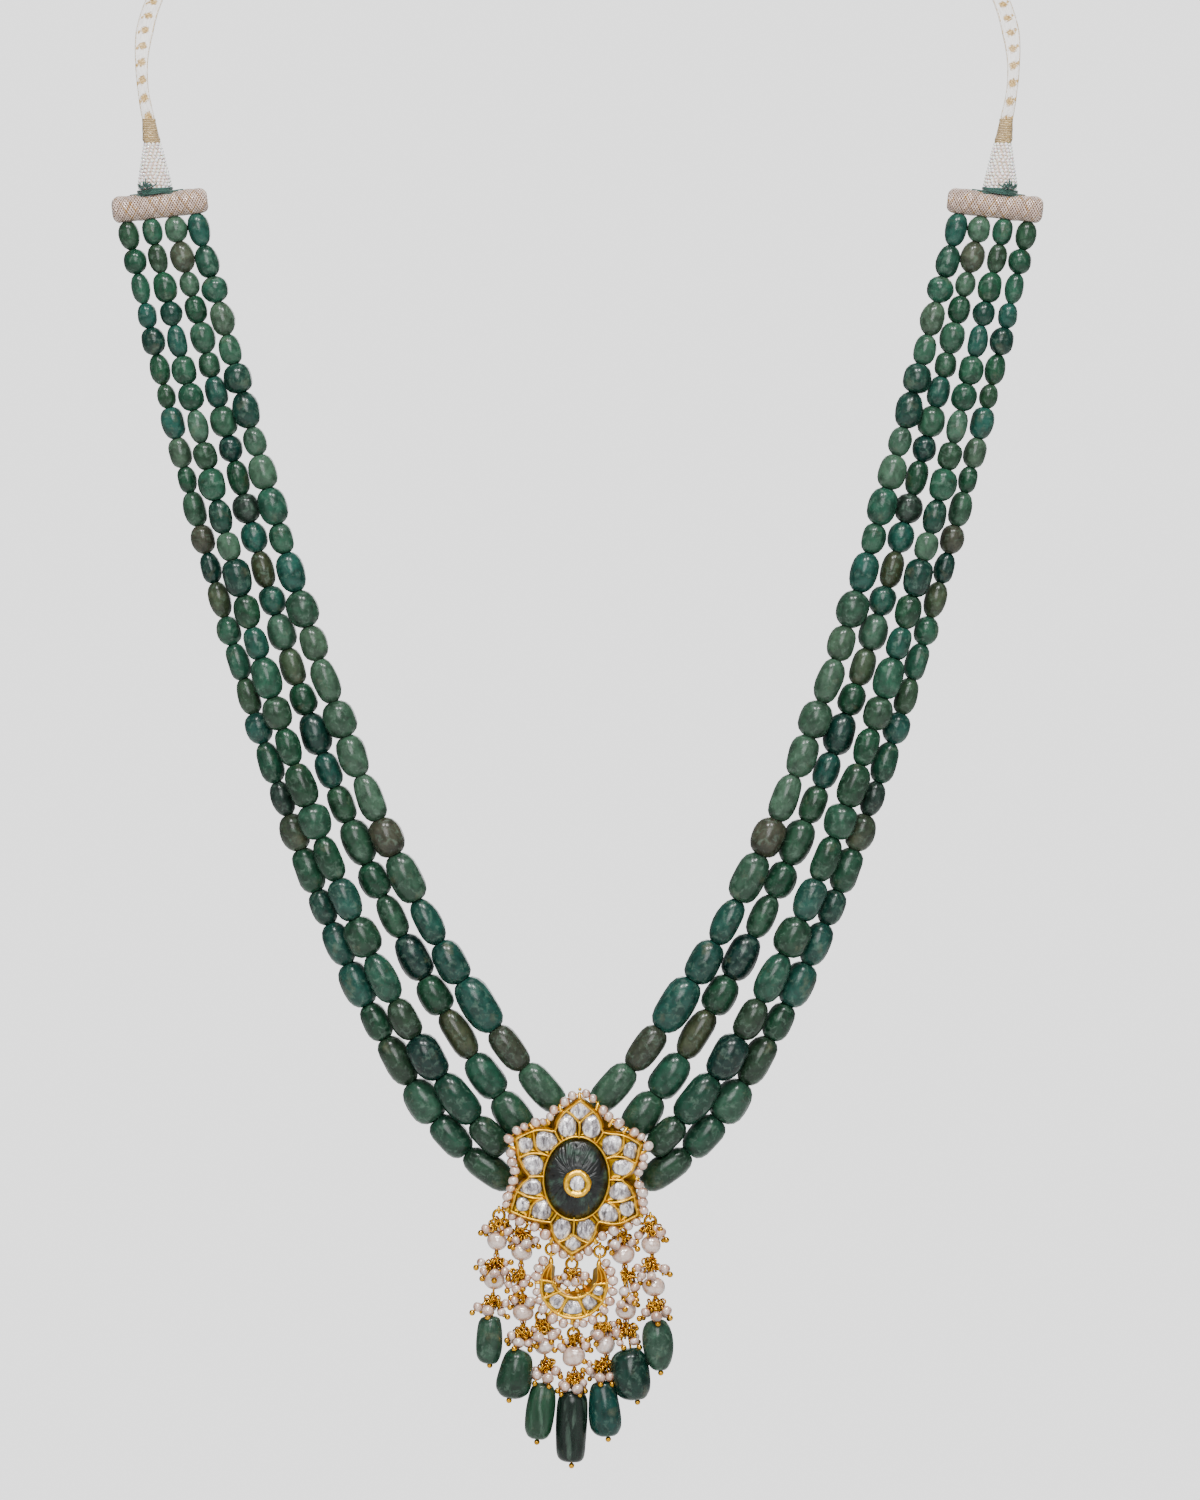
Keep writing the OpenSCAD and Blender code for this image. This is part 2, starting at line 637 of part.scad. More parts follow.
module on_pin(i, z) {
    place = pin_at(DANGLES[i - 1][0], z);
    worn() translate([flower_x + place[0][0], dangle_y(i), z]) rotate([0, -place[1], 0]) children();
}

// A bunch of wired seed pearls, round its pin. hollow is the room kept for a large pearl in it
module bunch(r, hollow) {
    top = hollow > 0 ? hollow + bunch_rise : plain_bunch_h;
    rotate_extrude() difference() {
        polygon([[0, top], [1.1, top], [r, top - 1.4], [r, bunch_foot], [r - 0.8, 0], [0, 0]]);
        if (hollow > 0) circle(hollow);
        if (hollow > 0) translate([-hollow, -hollow]) square([2 * hollow, hollow]);
    }
}

// Ring, pin, bunches and end ball of a dangle
module dangle_wire(i) {
    d = DANGLES[i - 1];
    path = d[0];
    last = len(path) - 1;
    y = dangle_y(i);
    color("goldenrod") {
        worn() translate([flower_x, y, 0]) {
            translate([path[0][0], 0, path[0][1]]) rotate([90, 0, 0]) wire_ring();
            for (k = [0 : last - 1]) {
                start = k == 0 ? [path[0][0], path[0][1] - ring_r] : path[k];
                rod([start[0], 0, start[1]], [path[k + 1][0], 0, path[k + 1][1]], pin_r);
            }
            for (k = [1 : last]) translate([path[k][0], 0, path[k][1]]) sphere(k == last ? end_ball_r : 1.5 * pin_r);
        }
        for (b = d[2]) {
            pearl = [for (p = d[1]) if (p[0] == b[0]) p[1]];
            on_pin(i, b[0]) bunch(b[1], b[2] ? pearl[0] + 0.25 : 0);
        }
    }
}

// Large pearl, round its pin
module pearl(i, z, r) {
    color("mistyrose") on_pin(i, z) difference() {
        sphere(r);
        cylinder(h = 3 * r, r = pearl_bore_r, center = true);
    }
}

module drop(i) {
    d = DANGLES[i - 1][3];
    color("darkgreen") on_pin(i, d[0]) difference() {
        translate([d[3], 0, 0]) tumbled_stone(d[1], d[2], 0, d[4]);
        cylinder(h = 2 * d[2], r = pearl_bore_r, center = true);
    }
}

// Ring under the flower's lowest tip, with its bunch of seed pearls
module tip_ring() {
    color("goldenrod") worn() translate([flower_x + tip_ring_at[0], flower_back_y - lug_z, tip_ring_at[1]]) {
        rotate([90, 0, 0]) wire_ring();
        rod([0, 0, -ring_r], [0, 0, -ring_r - 2.5], pin_r);
        translate([0, 0, -ring_r - 3.4]) bunch(3.6, 0);
    }
}

ribbon();
star_setting();
petal_stones();
centre_stone();
centre_collet();
centre_polki();
rim_pearls();
hinge_ring(-1);  // ring_left
hinge_ring(1);  // ring_right
tip_ring();
crescent_frame();
crescent_stones();
crescent_pearls();
for (side = SIDES) {
    bar(side);
    cone(side);
    wrap(side);
    for (k = [1:4]) {
        strand(side, k);
        thread(side, k);
    }
}
for (i = [1:7]) {
    dangle_wire(i);
    drop(i);
    for (p = [0 : len(DANGLES[i - 1][1]) - 1])
        pearl(i, DANGLES[i - 1][1][p][0], DANGLES[i - 1][1][p][1]);
}
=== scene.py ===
# %% [markdown]
# # Emerald bead necklace with a kundan flower pendant
#
# This lesson dresses a measured CAD model of a necklace. The CAD part gives every size and place. The
# cells below rebuild each visible piece as a finer surface on the same places, and give it a material.
# Lengths are worked out in millimetres and turned to metres only when a mesh is made.

# %% Load the frame
import bpy
import numpy as np
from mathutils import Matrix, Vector


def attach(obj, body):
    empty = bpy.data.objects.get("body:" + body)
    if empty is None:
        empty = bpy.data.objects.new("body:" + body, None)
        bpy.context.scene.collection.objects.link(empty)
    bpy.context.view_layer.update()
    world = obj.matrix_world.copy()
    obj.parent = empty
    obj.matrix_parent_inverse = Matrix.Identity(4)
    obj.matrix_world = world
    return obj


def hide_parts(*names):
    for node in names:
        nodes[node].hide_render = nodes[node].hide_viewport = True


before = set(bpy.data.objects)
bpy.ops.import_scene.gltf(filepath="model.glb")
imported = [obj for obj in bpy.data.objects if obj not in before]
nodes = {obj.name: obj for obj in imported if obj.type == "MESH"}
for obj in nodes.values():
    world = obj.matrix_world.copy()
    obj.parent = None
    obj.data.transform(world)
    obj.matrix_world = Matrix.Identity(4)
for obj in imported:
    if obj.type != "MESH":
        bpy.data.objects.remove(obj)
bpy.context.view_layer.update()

# %% [markdown]
# ## The camera
#
# The photo was taken level, straight at the hanging necklace, with a long lens. One photo pixel is
# 0.28 mm at the necklace, so 1500 pixels are 420 mm. A lens that sees 420 mm from 2.5 m away is
# found from similar triangles: half the sensor over the focal length is half the height over the distance.

# %% Camera
MM = 0.001
NECK_DEPTH, NAPE_HEIGHT = 110.0, 385.0   # from the nape to the strings' plane, and to the flower's centre
FRAME_HEIGHT, DISTANCE = 420.0, 2500.0
VIEW_MIDDLE = (6.3, -114.0, 119.8 - NAPE_HEIGHT)
lens = bpy.data.cameras.new("long_lens")
lens.sensor_width = 36.0
lens.lens = 18.0 * DISTANCE / (FRAME_HEIGHT / 2)
lens.clip_end = 20.0
camera = bpy.data.objects.new("camera", lens)
camera.location = Vector((VIEW_MIDDLE[0], VIEW_MIDDLE[1] - DISTANCE, VIEW_MIDDLE[2])) * MM
camera.rotation_euler = (np.pi / 2, 0, 0)
bpy.context.scene.collection.objects.link(camera)
bpy.context.scene.camera = camera
print("focal length", round(lens.lens, 1), "mm")

# %% [markdown]
# ## Small tools for colour, materials and meshes
#
# Colours are written as sRGB hex, as an eye reads them on a screen, and turned to the linear values
# that a renderer adds and multiplies. A mesh is filled from whole arrays, which stays quick with many points.

# %% Colour
def linear(code):
    """Hex colour to linear RGB and alpha: c / 12.92 where dark, else ((c + 0.055) / 1.055) ^ 2.4."""
    c = np.array([int(code[i:i + 2], 16) for i in (1, 3, 5)]) / 255.0
    c = np.where(c <= 0.04045, c / 12.92, ((c + 0.055) / 1.055) ** 2.4)
    return tuple(c.tolist()) + (1.0,)


# %% Materials
def new_material(name, **sockets):
    """A material with one Principled shader whose plain sockets are set by name, with _ for a space."""
    material = bpy.data.materials.new(name)
    material.use_nodes = True
    shader = material.node_tree.nodes["Principled BSDF"]
    for socket, value in sockets.items():
        shader.inputs[socket.replace("_", " ")].default_value = value
    return material


def add(material, kind, links=(), settings=(), **sockets):
    """Adds a node. links are (input, node, output) and settings are (attribute, value)."""
    node = material.node_tree.nodes.new("ShaderNode" + kind)
    for name, value in settings:
        setattr(node, name, value)
    for name, value in sockets.items():
        node.inputs[int(name[1:]) if name[1:].isdigit() else name.replace("_", " ")].default_value = value
    for target, source, output in links:
        material.node_tree.links.new(node.inputs[target], source.outputs[output])
    return node


def finish_with(material, links):
    """Links nodes to the shader's sockets. links are (input, node, output)."""
    shader = material.node_tree.nodes["Principled BSDF"]
    for target, source, output in links:
        material.node_tree.links.new(shader.inputs[target], source.outputs[output])


def ramp(material, source, output, stops):
    """A colour ramp on a value. stops are (place, hex colour)."""
    node = add(material, "ValToRGB", [("Fac", source, output)])
    marks = node.color_ramp.elements
    while len(marks) < len(stops):
        marks.new(0.5)
    for mark, (place, colour) in zip(marks, stops):
        mark.position, mark.color = place, linear(colour)
    return node


# %% Meshes from arrays
class Shape:
    """Points in millimetres, four-sided faces, three-sided faces, and values kept on the points. uv holds
    two numbers for each corner of each four-sided face."""

    def __init__(self, points, quads=None, tris=None, uv=None, **values):
        self.uv = uv
        self.points = np.asarray(points, float).reshape(-1, 3)
        self.quads = np.zeros((0, 4), int) if quads is None else np.asarray(quads, int).reshape(-1, 4)
        self.tris = np.zeros((0, 3), int) if tris is None else np.asarray(tris, int).reshape(-1, 3)
        self.values = values


def join(shapes):
    """One shape from several: each one's face numbers are moved on by the points before it."""
    starts = np.cumsum([0] + [len(s.points) for s in shapes])
    keys = set.intersection(*[set(s.values) for s in shapes])
    return Shape(
        np.concatenate([s.points for s in shapes]),
        np.concatenate([s.quads + a for s, a in zip(shapes, starts)]),
        np.concatenate([s.tris + a for s, a in zip(shapes, starts)]),
        **{k: np.concatenate([s.values[k] for s in shapes]) for k in keys},
    )


def put(name, shape, material, body, stands_for=(), smooth=True):
    """Makes the mesh object, fills it from arrays, and hangs it on its CAD body."""
    mesh = bpy.data.meshes.new(name)
    mesh.vertices.add(len(shape.points))
    mesh.vertices.foreach_set("co", (shape.points * MM).ravel())
    corners = np.concatenate([shape.quads.ravel(), shape.tris.ravel()])
    sizes = np.concatenate([np.full(len(shape.quads), 4), np.full(len(shape.tris), 3)])
    mesh.loops.add(len(corners))
    mesh.loops.foreach_set("vertex_index", corners)
    mesh.polygons.add(len(sizes))
    mesh.polygons.foreach_set("loop_start", np.concatenate([[0], np.cumsum(sizes)[:-1]]))
    mesh.polygons.foreach_set("use_smooth", np.full(len(sizes), smooth))
    mesh.update(calc_edges=True)
    for key, data in shape.values.items():
        data = np.asarray(data, float)
        kind, field = {1: ("FLOAT", "value"), 3: ("FLOAT_VECTOR", "vector"), 4: ("FLOAT_COLOR", "color")}[
            1 if data.ndim == 1 else data.shape[1]]
        mesh.attributes.new(key, kind, "POINT").data.foreach_set(field, data.ravel())
    if shape.uv is not None:
        corners = np.concatenate([shape.uv.reshape(-1, 2), np.zeros((3 * len(shape.tris), 2))])
        mesh.uv_layers.new(name="wound").data.foreach_set("uv", corners.ravel())
    mesh.materials.append(material)
    piece = bpy.data.objects.new(name, mesh)
    bpy.context.scene.collection.objects.link(piece)
    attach(piece, body)
    if stands_for:
        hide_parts(*stands_for)
    counted[name] = int(2 * len(shape.quads) + len(shape.tris))
    return piece


counted = {}


def grid_quads(rows, columns, wrap_rows=False):
    """Faces of a grid of rings, row by row. They are seen from outside when each ring turns left about
    the rows' path."""
    r = np.arange(rows if wrap_rows else rows - 1)[:, None]
    c = np.arange(columns)[None, :]
    r2, c2 = (r + 1) % rows * columns, (c + 1) % columns
    r = r * columns
    return np.stack([r + c, r + c2, r2 + c2, r2 + c], -1).reshape(-1, 4)


def grid_uv(along, columns):
    """For each corner of grid_quads: how far along its row is, and its share of the way round, which
    reaches 1 at the seam instead of falling back to 0."""
    u = np.stack([along[:-1], along[:-1], along[1:], along[1:]], -1)[:, None] + np.zeros((1, columns, 1))
    c = np.arange(columns)[None, :, None] + np.array([0, 1, 1, 0])
    return np.stack([u, (c + 0 * u) / columns], -1).reshape(-1, 4, 2)


def fan(centre, first, count, flip):
    """Three-sided faces from one point to a ring of points."""
    j = np.arange(count)
    faces = np.stack([np.full(count, centre), first + j, first + (j + 1) % count], -1)
    return faces[:, ::-1] if flip else faces


def around(n):
    """n angles once round. The angle that would repeat the first is left out."""
    return np.linspace(0, 2 * np.pi, n, endpoint=False)


def capped(rings, first, last, flip=False, **values):
    """A grid of rings that is closed at its ends by fans to the points first and last. flip turns it
    inside out, for rings that run the other way round."""
    rows, columns = rings.shape[:2]
    n = rows * columns
    quads = grid_quads(rows, columns)
    tris = np.concatenate([fan(n, 0, columns, not flip), fan(n + 1, n - columns, columns, flip)])
    points = np.concatenate([rings.reshape(-1, 3), [first, last]])
    return Shape(points, quads[:, ::-1] if flip else quads, tris, **values)


def unit(v):
    """A vector over its length."""
    v = np.asarray(v, float)
    return v / np.linalg.norm(v, axis=-1, keepdims=True)


def turned(p, degrees):
    """[x, y] turned to the left about the origin."""
    a = np.radians(degrees)
    p = np.asarray(p, float)
    x, y, c, s = p[..., 0], p[..., 1], np.cos(a), np.sin(a)
    return np.stack([x * c - y * s, x * s + y * c], -1)


def smoothstep(x):
    """3 x^2 - 2 x^3, held between 0 and 1."""
    x = np.clip(x, 0, 1)
    return x * x * (3 - 2 * x)


def bezier(guides, t):
    """Cubic curve: (1-t)^3 a + 3 (1-t)^2 t b + 3 (1-t) t^2 c + t^3 d."""
    a, b, c, d = np.asarray(guides, float)
    t = np.asarray(t, float)[..., None]
    return (1 - t) ** 3 * a + 3 * (1 - t) ** 2 * t * b + 3 * (1 - t) * t * t * c + t ** 3 * d


def bases(directions, across=(0.0, 1.0, 0.0)):
    """A turned frame for each direction: the third column is the direction, the first is square to across."""
    w = unit(directions)
    u = unit(np.cross(np.broadcast_to(across, w.shape), w))
    return np.stack([u, np.cross(w, u), w], -1)


def stamp(shape, places, turns, sizes):
    """Copies of one shape. Each copy is turn @ (point * size) + place, for all copies at once."""
    places, turns = np.atleast_2d(places), np.asarray(turns, float)
    n, m = len(places), len(shape.points)
    sizes = np.broadcast_to(np.asarray(sizes, float).reshape(len(np.atleast_1d(sizes)), -1), (n, 3))
    turns = np.broadcast_to(turns, (n, 3, 3))
    points = np.einsum("nij,nmj->nmi", turns, shape.points[None] * sizes[:, None]) + places[:, None]
    step = (np.arange(n) * m)[:, None, None]
    values = {k: np.tile(v, (n,) + (1,) * (v.ndim - 1)) for k, v in shape.values.items()}
    return Shape(points, (shape.quads[None] + step), (shape.tris[None] + step), **values)


def tube(path, radius, sides, across=(0.0, 1.0, 0.0), closed=False):
    """A round wire along a path: each ring is path + radius (cos a u + sin a v), square to the path.
    across is a direction, or one for each point, that the path never takes."""
    path = np.asarray(path, float)
    n = len(path)
    if closed:
        along = np.roll(path, -1, 0) - np.roll(path, 1, 0)
    else:
        along = np.gradient(path, axis=0)
    w = unit(along)
    u = unit(np.cross(w, np.broadcast_to(across, w.shape)))
    v = np.cross(w, u)
    a = around(sides)[None, :, None]
    radius = np.broadcast_to(np.asarray(radius, float), (n,))[:, None, None]
    rings = path[:, None] + radius * (np.cos(a) * u[:, None] + np.sin(a) * v[:, None])
    if closed:
        return Shape(rings, grid_quads(n, sides, wrap_rows=True))
    return capped(rings, path[0], path[-1])


def ball(rows, columns):
    """A unit ball: rings of radius sin b at height cos b, with a point at each pole."""
    b = np.linspace(0, np.pi, rows + 1)[1:-1][:, None]
    a = around(columns)[None, :]
    rings = np.stack([np.sin(b) * np.cos(a), np.sin(b) * np.sin(a), np.cos(b) + 0 * a], -1)
    return capped(rings, [0, 0, 1], [0, 0, -1], flip=True)


print("tools ready")

# %% [markdown]
# ## Emerald tumbles
#
# The strings are drilled emerald pebbles, shaken in a tumbler until they are smooth, so each one is a
# rounded barrel of its own. A bead could be sculpted by hand, but there are more than two hundred, so
# one formula makes them all: a superellipse turned about the thread and cut short at both ends, where
# the drill has worn it and its neighbours press, with a few slow waves on its skin. The places of the
# beads follow the same curves and the same numbers as the CAD strings.

# %% Where each string runs
BAR_MIDDLE, LEAN_BAR, BAR_R = (-117.1, 272.6), np.radians(6.3), 3.7
# Beads, x under the bar, upper and lower guides, foot, widths at top and foot, growth, depth, post
STRINGS = [
    [30, -126.4, [-108.5, 182.5], [-67, 20.5], [-18.5, -2.5], 5.6, 9.6, 2.6, 3.6, [-13.6, -2]],
    [28, -120, [-98.5, 174.5], [-70.5, 54.5], [-20.5, 7], 5.7, 9, 1.3, -1.9, [-15.2, 8]],
    [28, -113.4, [-87, 162.5], [-71.5, 88.5], [-14.5, 12.5], 5.9, 8.6, 1.2, 2.2, [-11.4, 11.2]],
    [25, -107.2, [-81, 171.5], [-61.5, 79.5], [-5, 19.5], 6.4, 8.6, 0.9, -1.7, [-4.6, 16.6]],
]
BEAD_GAP, BORE_R = 0.26, 0.5
WORN = np.array([0.0, -NECK_DEPTH, -NAPE_HEIGHT])   # from the flower's centre to the nape's frame


def on_side(shape, side):
    """A shape made for the left side, on either side: the right is its mirror, turned right side out."""
    if side == "left":
        return Shape(shape.points + WORN, shape.quads, shape.tris, uv=shape.uv, **shape.values)
    uv = None if shape.uv is None else shape.uv[:, ::-1]
    points = shape.points * [-1, 1, 1] + WORN
    return Shape(points, shape.quads[:, ::-1], shape.tris[:, ::-1], uv=uv, **shape.values)


def string_at(s, t):
    """A point on a string at share t: a cubic in x and z, and a smooth step in depth."""
    x0, guides, deep = s[1], s[2:5], s[8]
    z0 = BAR_MIDDLE[1] + (x0 - BAR_MIDDLE[0]) * np.tan(LEAN_BAR) - BAR_R / np.cos(LEAN_BAR) - 0.35
    flat = bezier([[x0, 0, z0]] + [[x, 0, z] for x, z in guides], t)
    depth = deep * smoothstep((t + 0.02) / 0.3) * (1 - t ** 5 if deep < 0 else 1)
    return flat + np.stack([0 * t, depth, 0 * t], -1)


def bead_layout(k):
    """Ends and widths of the beads of string k, outermost 0. Each bead fills its share of the curve."""
    s = STRINGS[k]
    t = np.linspace(0, 1, 41)
    curve = string_at(s, t)
    run = np.concatenate([[0], np.cumsum(np.linalg.norm(np.diff(curve, axis=0), axis=1))])
    count, top, foot, growth = s[0], s[5], s[6], s[7]
    i = np.arange(count)
    low = i / count                                  # 0 under the bar. The waves are the CAD's uneven sizes
    rough = (7.2 + 6.4 * low ** 1.8) * (1 + 0.14 * np.sin(np.radians(226 * i + 295 * k)))
    width = (top + (foot - top) * low ** growth) * (1 + 0.12 * np.sin(np.radians(110 * i + 194 * k)))
    ends = string_at(s, np.interp(np.concatenate([[0], np.cumsum(rough)]) * run[-1] / rough.sum(), run, t))
    return ends, width


def pebbles(lengths, widths, rng, square, full=(1.95, 2.5), egg=0.06, waves=0.03, rows=10, columns=12):
    """Drilled tumbled stones about z, one for each length: radius = w/2 (1 - |u|^p)^(1/p), times an egg
    term 1 + e u, an oval term 1 + o cos 2a, and two slow waves. square is added to p, the squareness. The
    skin turns in at both ends and runs back through the hole, so that the grid closes like a ring."""
    n = len(lengths)
    u = np.sin(np.linspace(-np.pi / 2, np.pi / 2, rows))[None, :, None]
    a = around(columns)[None, None, :]
    one = lambda low, high: rng.uniform(low, high, n)[:, None, None]
    p = one(*full) + square[:, None, None]
    r = widths[:, None, None] / 2 * (1 - np.abs(u * 0.972) ** p) ** (1 / p)
    r = r * (1 + one(-egg, egg) * u) * (1 + one(0, 0.04) * np.cos(2 * a + one(0, 6)))
    r = r * (1 + one(0.2, 1) * waves * np.sin(3 * a + 2.5 * u + one(0, 6))
             + one(0.2, 1) * waves * np.sin(a - 4 * u + one(0, 6)))
    r = np.maximum(r, BORE_R + 0.06)
    bend = one(-0.02, 0.02) * widths[:, None, None] * (1 - u * u)
    z = u * (lengths[:, None, None] - BEAD_GAP) / 2
    outer = np.stack([r * np.cos(a) + bend, r * np.sin(a), z + 0 * r], -1)
    z = z[:, [-1, 0]]                                # the hole's two rims, from the far end back
    hole = np.stack([BORE_R * np.cos(a) + 0 * z, BORE_R * np.sin(a) + 0 * z, z + 0 * a], -1)
    points = np.concatenate([outer, hole], 1)
    rows = rows + 2
    quads = grid_quads(rows, columns, wrap_rows=True)
    quads = (quads[None] + (np.arange(n) * rows * columns)[:, None, None]).reshape(-1, 4)
    local = points.reshape(-1, 3) + np.repeat(rng.uniform(-60, 60, (n, 3)), rows * columns, 0)
    return Shape(points, quads, stone=local), rows * columns


def shaded(codes, weights, n, rng, spread=0.08):
    """A colour for each of n stones: picked from a maker's palette, then a little lighter or darker."""
    palette = np.array([linear(c)[:3] for c in codes])
    pick = rng.choice(len(codes), n, p=np.array(weights) / np.sum(weights))
    other = rng.choice(len(codes), n)
    mix = rng.uniform(0, 0.35, n)[:, None]
    colour = palette[pick] * (1 - mix) + palette[other] * mix
    colour = colour * np.exp(rng.normal(0, spread, n))[:, None]
    return np.concatenate([colour, np.ones((n, 1))], 1)


# %% [markdown]
# ### The look of emerald
#
# Beads of this grade are beryl that lets in a little light and is full of feathers and clouds. Under the
# polish the eye sees a soft green body, paler clouds a few millimetres wide, brown-grey patches of mica,
# and dark specks. Three noise patterns of those sizes make them. They read the place inside each
# stone, kept on the mesh as an attribute, so no two beads carry the same clouds.

# %% Emerald, tumbled and polished
MULTIPLY = [("data_type", "RGBA"), ("blend_type", "MULTIPLY")]
MIX = [("data_type", "RGBA")]   # its colours go in at 6 and 7, its share at 0, and out at 2


def emerald(name, clouds=0.3, stretch=1.0):
    """Beryl with clouds, mica patches and specks. Its own colour comes from the mesh."""
    m = new_material(name, Roughness=0.27, Specular_IOR_Level=0.24, Coat_Weight=0.12, Coat_Roughness=0.14,
                     Subsurface_Weight=0.15, Subsurface_Radius=(0.5, 1.3, 0.9), Subsurface_Scale=0.0012)
    place = add(m, "Attribute", settings=[("attribute_name", "stone")])
    body = add(m, "Attribute", settings=[("attribute_name", "body_colour")])
    along = add(m, "Mapping", [("Vector", place, "Vector")], Scale=(1.0, 1.0, 1.0 / stretch))
    cloud, feather = (add(m, "TexNoise", [("Vector", along, "Vector")], Scale=scale, Detail=4.0,
                          Roughness=0.55, Distortion=bent) for scale, bent in ((0.3, 0.4), (0.55, 0.5)))
    mica = add(m, "TexNoise", [("Vector", place, "Vector")], Scale=0.16, Detail=5.0, Roughness=0.6)
    speck = add(m, "TexVoronoi", [("Vector", place, "Vector")], Scale=0.9)
    depth = ramp(m, cloud, "Fac", [(0.32, "#757a78"), (0.50, "#cdcdcd"), (0.68, "#ffffff")])
    deep = add(m, "Mix", [(6, body, "Color"), (7, depth, "Color")], MULTIPLY, i0=0.75)
    pale_mask = ramp(m, feather, "Fac", [(0.52, "#000000"), (0.82, "#ffffff")])
    pale_share = add(m, "Math", [(0, pale_mask, "Color")], [("operation", "MULTIPLY")], i1=clouds)
    pale = add(m, "Mix", [(0, pale_share, 0), (6, deep, 2)], MIX, i7=linear("#7f9d8a"))
    brown_mask = ramp(m, mica, "Fac", [(0.60, "#000000"), (0.74, "#ffffff")])
    brown_share = add(m, "Math", [(0, brown_mask, "Color")], [("operation", "MULTIPLY")], i1=0.5)
    brown = add(m, "Mix", [(0, brown_share, 0), (6, pale, 2)], MIX, i7=linear("#575742"))
    dots = ramp(m, speck, "Distance", [(0.0, "#20302a"), (0.10, "#20302a"), (0.17, "#ffffff")])
    spots = add(m, "Mix", [(6, brown, 2), (7, dots, "Color")], MULTIPLY, i0=0.35)
    relief = add(m, "Bump", [("Height", feather, "Fac")], Strength=0.04, Distance=0.0002)
    finish_with(m, [("Base Color", spots, 2), ("Normal", relief, "Normal")])
    return m


EMERALD, STREAKED = emerald("polished_emerald"), emerald("streaked_emerald", stretch=5.0)

# %% The eight strings
# Deep green, teal, grey-green, olive, blue-green and brownish stones, and how common each is by string
GREENS = ["#1a432d", "#1d4f44", "#41604b", "#3f4730", "#0e322c", "#27523e", "#424335"]
COMMON = [[5, 2, 2, 2, 2, 3, 1], [5, 2, 2, 1, 2, 3, 0.6],
          [4, 3, 3, 1, 2, 3, 0.8], [1.5, 5, 4, 0.4, 1, 4, 0.8]]
for k in range(4):
    ends, width = bead_layout(k)
    ends[0] += 0.55 * unit(ends[0] - ends[1])        # the first bead is pushed up against the bar
    rng = np.random.default_rng(20 + k)
    down = np.linspace(0, 1, len(width))             # stones near the flower are squarer and darker
    steps = np.diff(ends, axis=0)
    shape, each = pebbles(np.linalg.norm(steps, axis=1) + 0.36, 1.06 * width, rng, 0.6 * down)
    frames = np.repeat(bases(steps), each, 0)
    middles = np.repeat((ends[:-1] + ends[1:]) / 2, each, 0)
    shape.points = np.einsum("nij,nj->ni", frames, shape.points) + middles
    tints = shaded(GREENS, COMMON[k], len(width), rng) * (1 - 0.27 * down[:, None] * [1, 1, 1, 0])
    shape.values["body_colour"] = np.repeat(tints, each, 0)
    for side in ("left", "right"):                   # both sides are the same stones, turned over
        string = on_side(shape, side)
        put(f"beads_{side}_{k + 1}", string, EMERALD, "necklace", [f"strand_{side}_{k + 1}"])
print("beads on one side", sum(s[0] for s in STRINGS), "and triangles", sum(counted.values()))

# %% [markdown]
# The thread shows only for a fraction of a millimetre between beads. The CAD thread already has its
# place, so it is kept and given the look of twisted silk.

# %% Thread
SILK = new_material("twisted_green_silk", Base_Color=linear("#12453b"), Roughness=0.75, Sheen_Weight=0.4)
spot = add(SILK, "TexCoord")
twist = add(SILK, "TexWave", [("Vector", spot, "Object")], [("bands_direction", "DIAGONAL")],
            Scale=1200.0, Distortion=2.0)
twist_bump = add(SILK, "Bump", [("Height", twist, "Fac")], Strength=0.5, Distance=0.0001)
silk_tone = ramp(SILK, twist, "Fac", [(0.2, "#0a2b25"), (0.8, "#1a5548")])
finish_with(SILK, [("Base Color", silk_tone, "Color"), ("Normal", twist_bump, "Normal")])


def dress(name, material):
    """Gives a CAD node a material."""
    slots = nodes[name].data.materials
    slots.clear()
    slots.append(material)


for side in ("left", "right"):
    for k in range(1, 5):
        dress(f"thread_{side}_{k}", SILK)

# %% [markdown]
# ## The flower: kundan setting
#
# Kundan work has no claws. Thin walls of gold ribbon stand up from a gold plate, a stone lies in each cell
# on bright foil, and pure gold foil is pressed down round it by hand. So the top of the gold is a soft
# landscape: low walls, and slopes that run from them down to the stones. It could be modelled wall by
# wall, but the walls flow into each other, so it is made as a height field. One grid runs from the carved
# stone's edge out to the outline of the petals, and each of its points is raised by how near it is to the
# closest wall. No two cells of the real flower are alike, so its outline and walls are drawn one by one.

# %% The flower's own frame, outline and walls
FLOWER, LEAN = np.array([-0.3, -4.0, 0.0]), 2.9


def from_face(p):
    """From the flower's face (x right, y up, z to the viewer) to the nape's frame: turned to the right by
    the lean, then stood up so that the viewer is at -Y."""
    p = np.asarray(p, float)
    flat = turned(p[..., :2], -LEAN)
    return np.stack([flat[..., 0], -p[..., 2], flat[..., 1]], -1) + FLOWER + WORN


FACE_TURN = np.stack([from_face(v) - from_face([0, 0, 0]) for v in np.eye(3)], -1)
OVAL = np.array([8.7, 11.2])
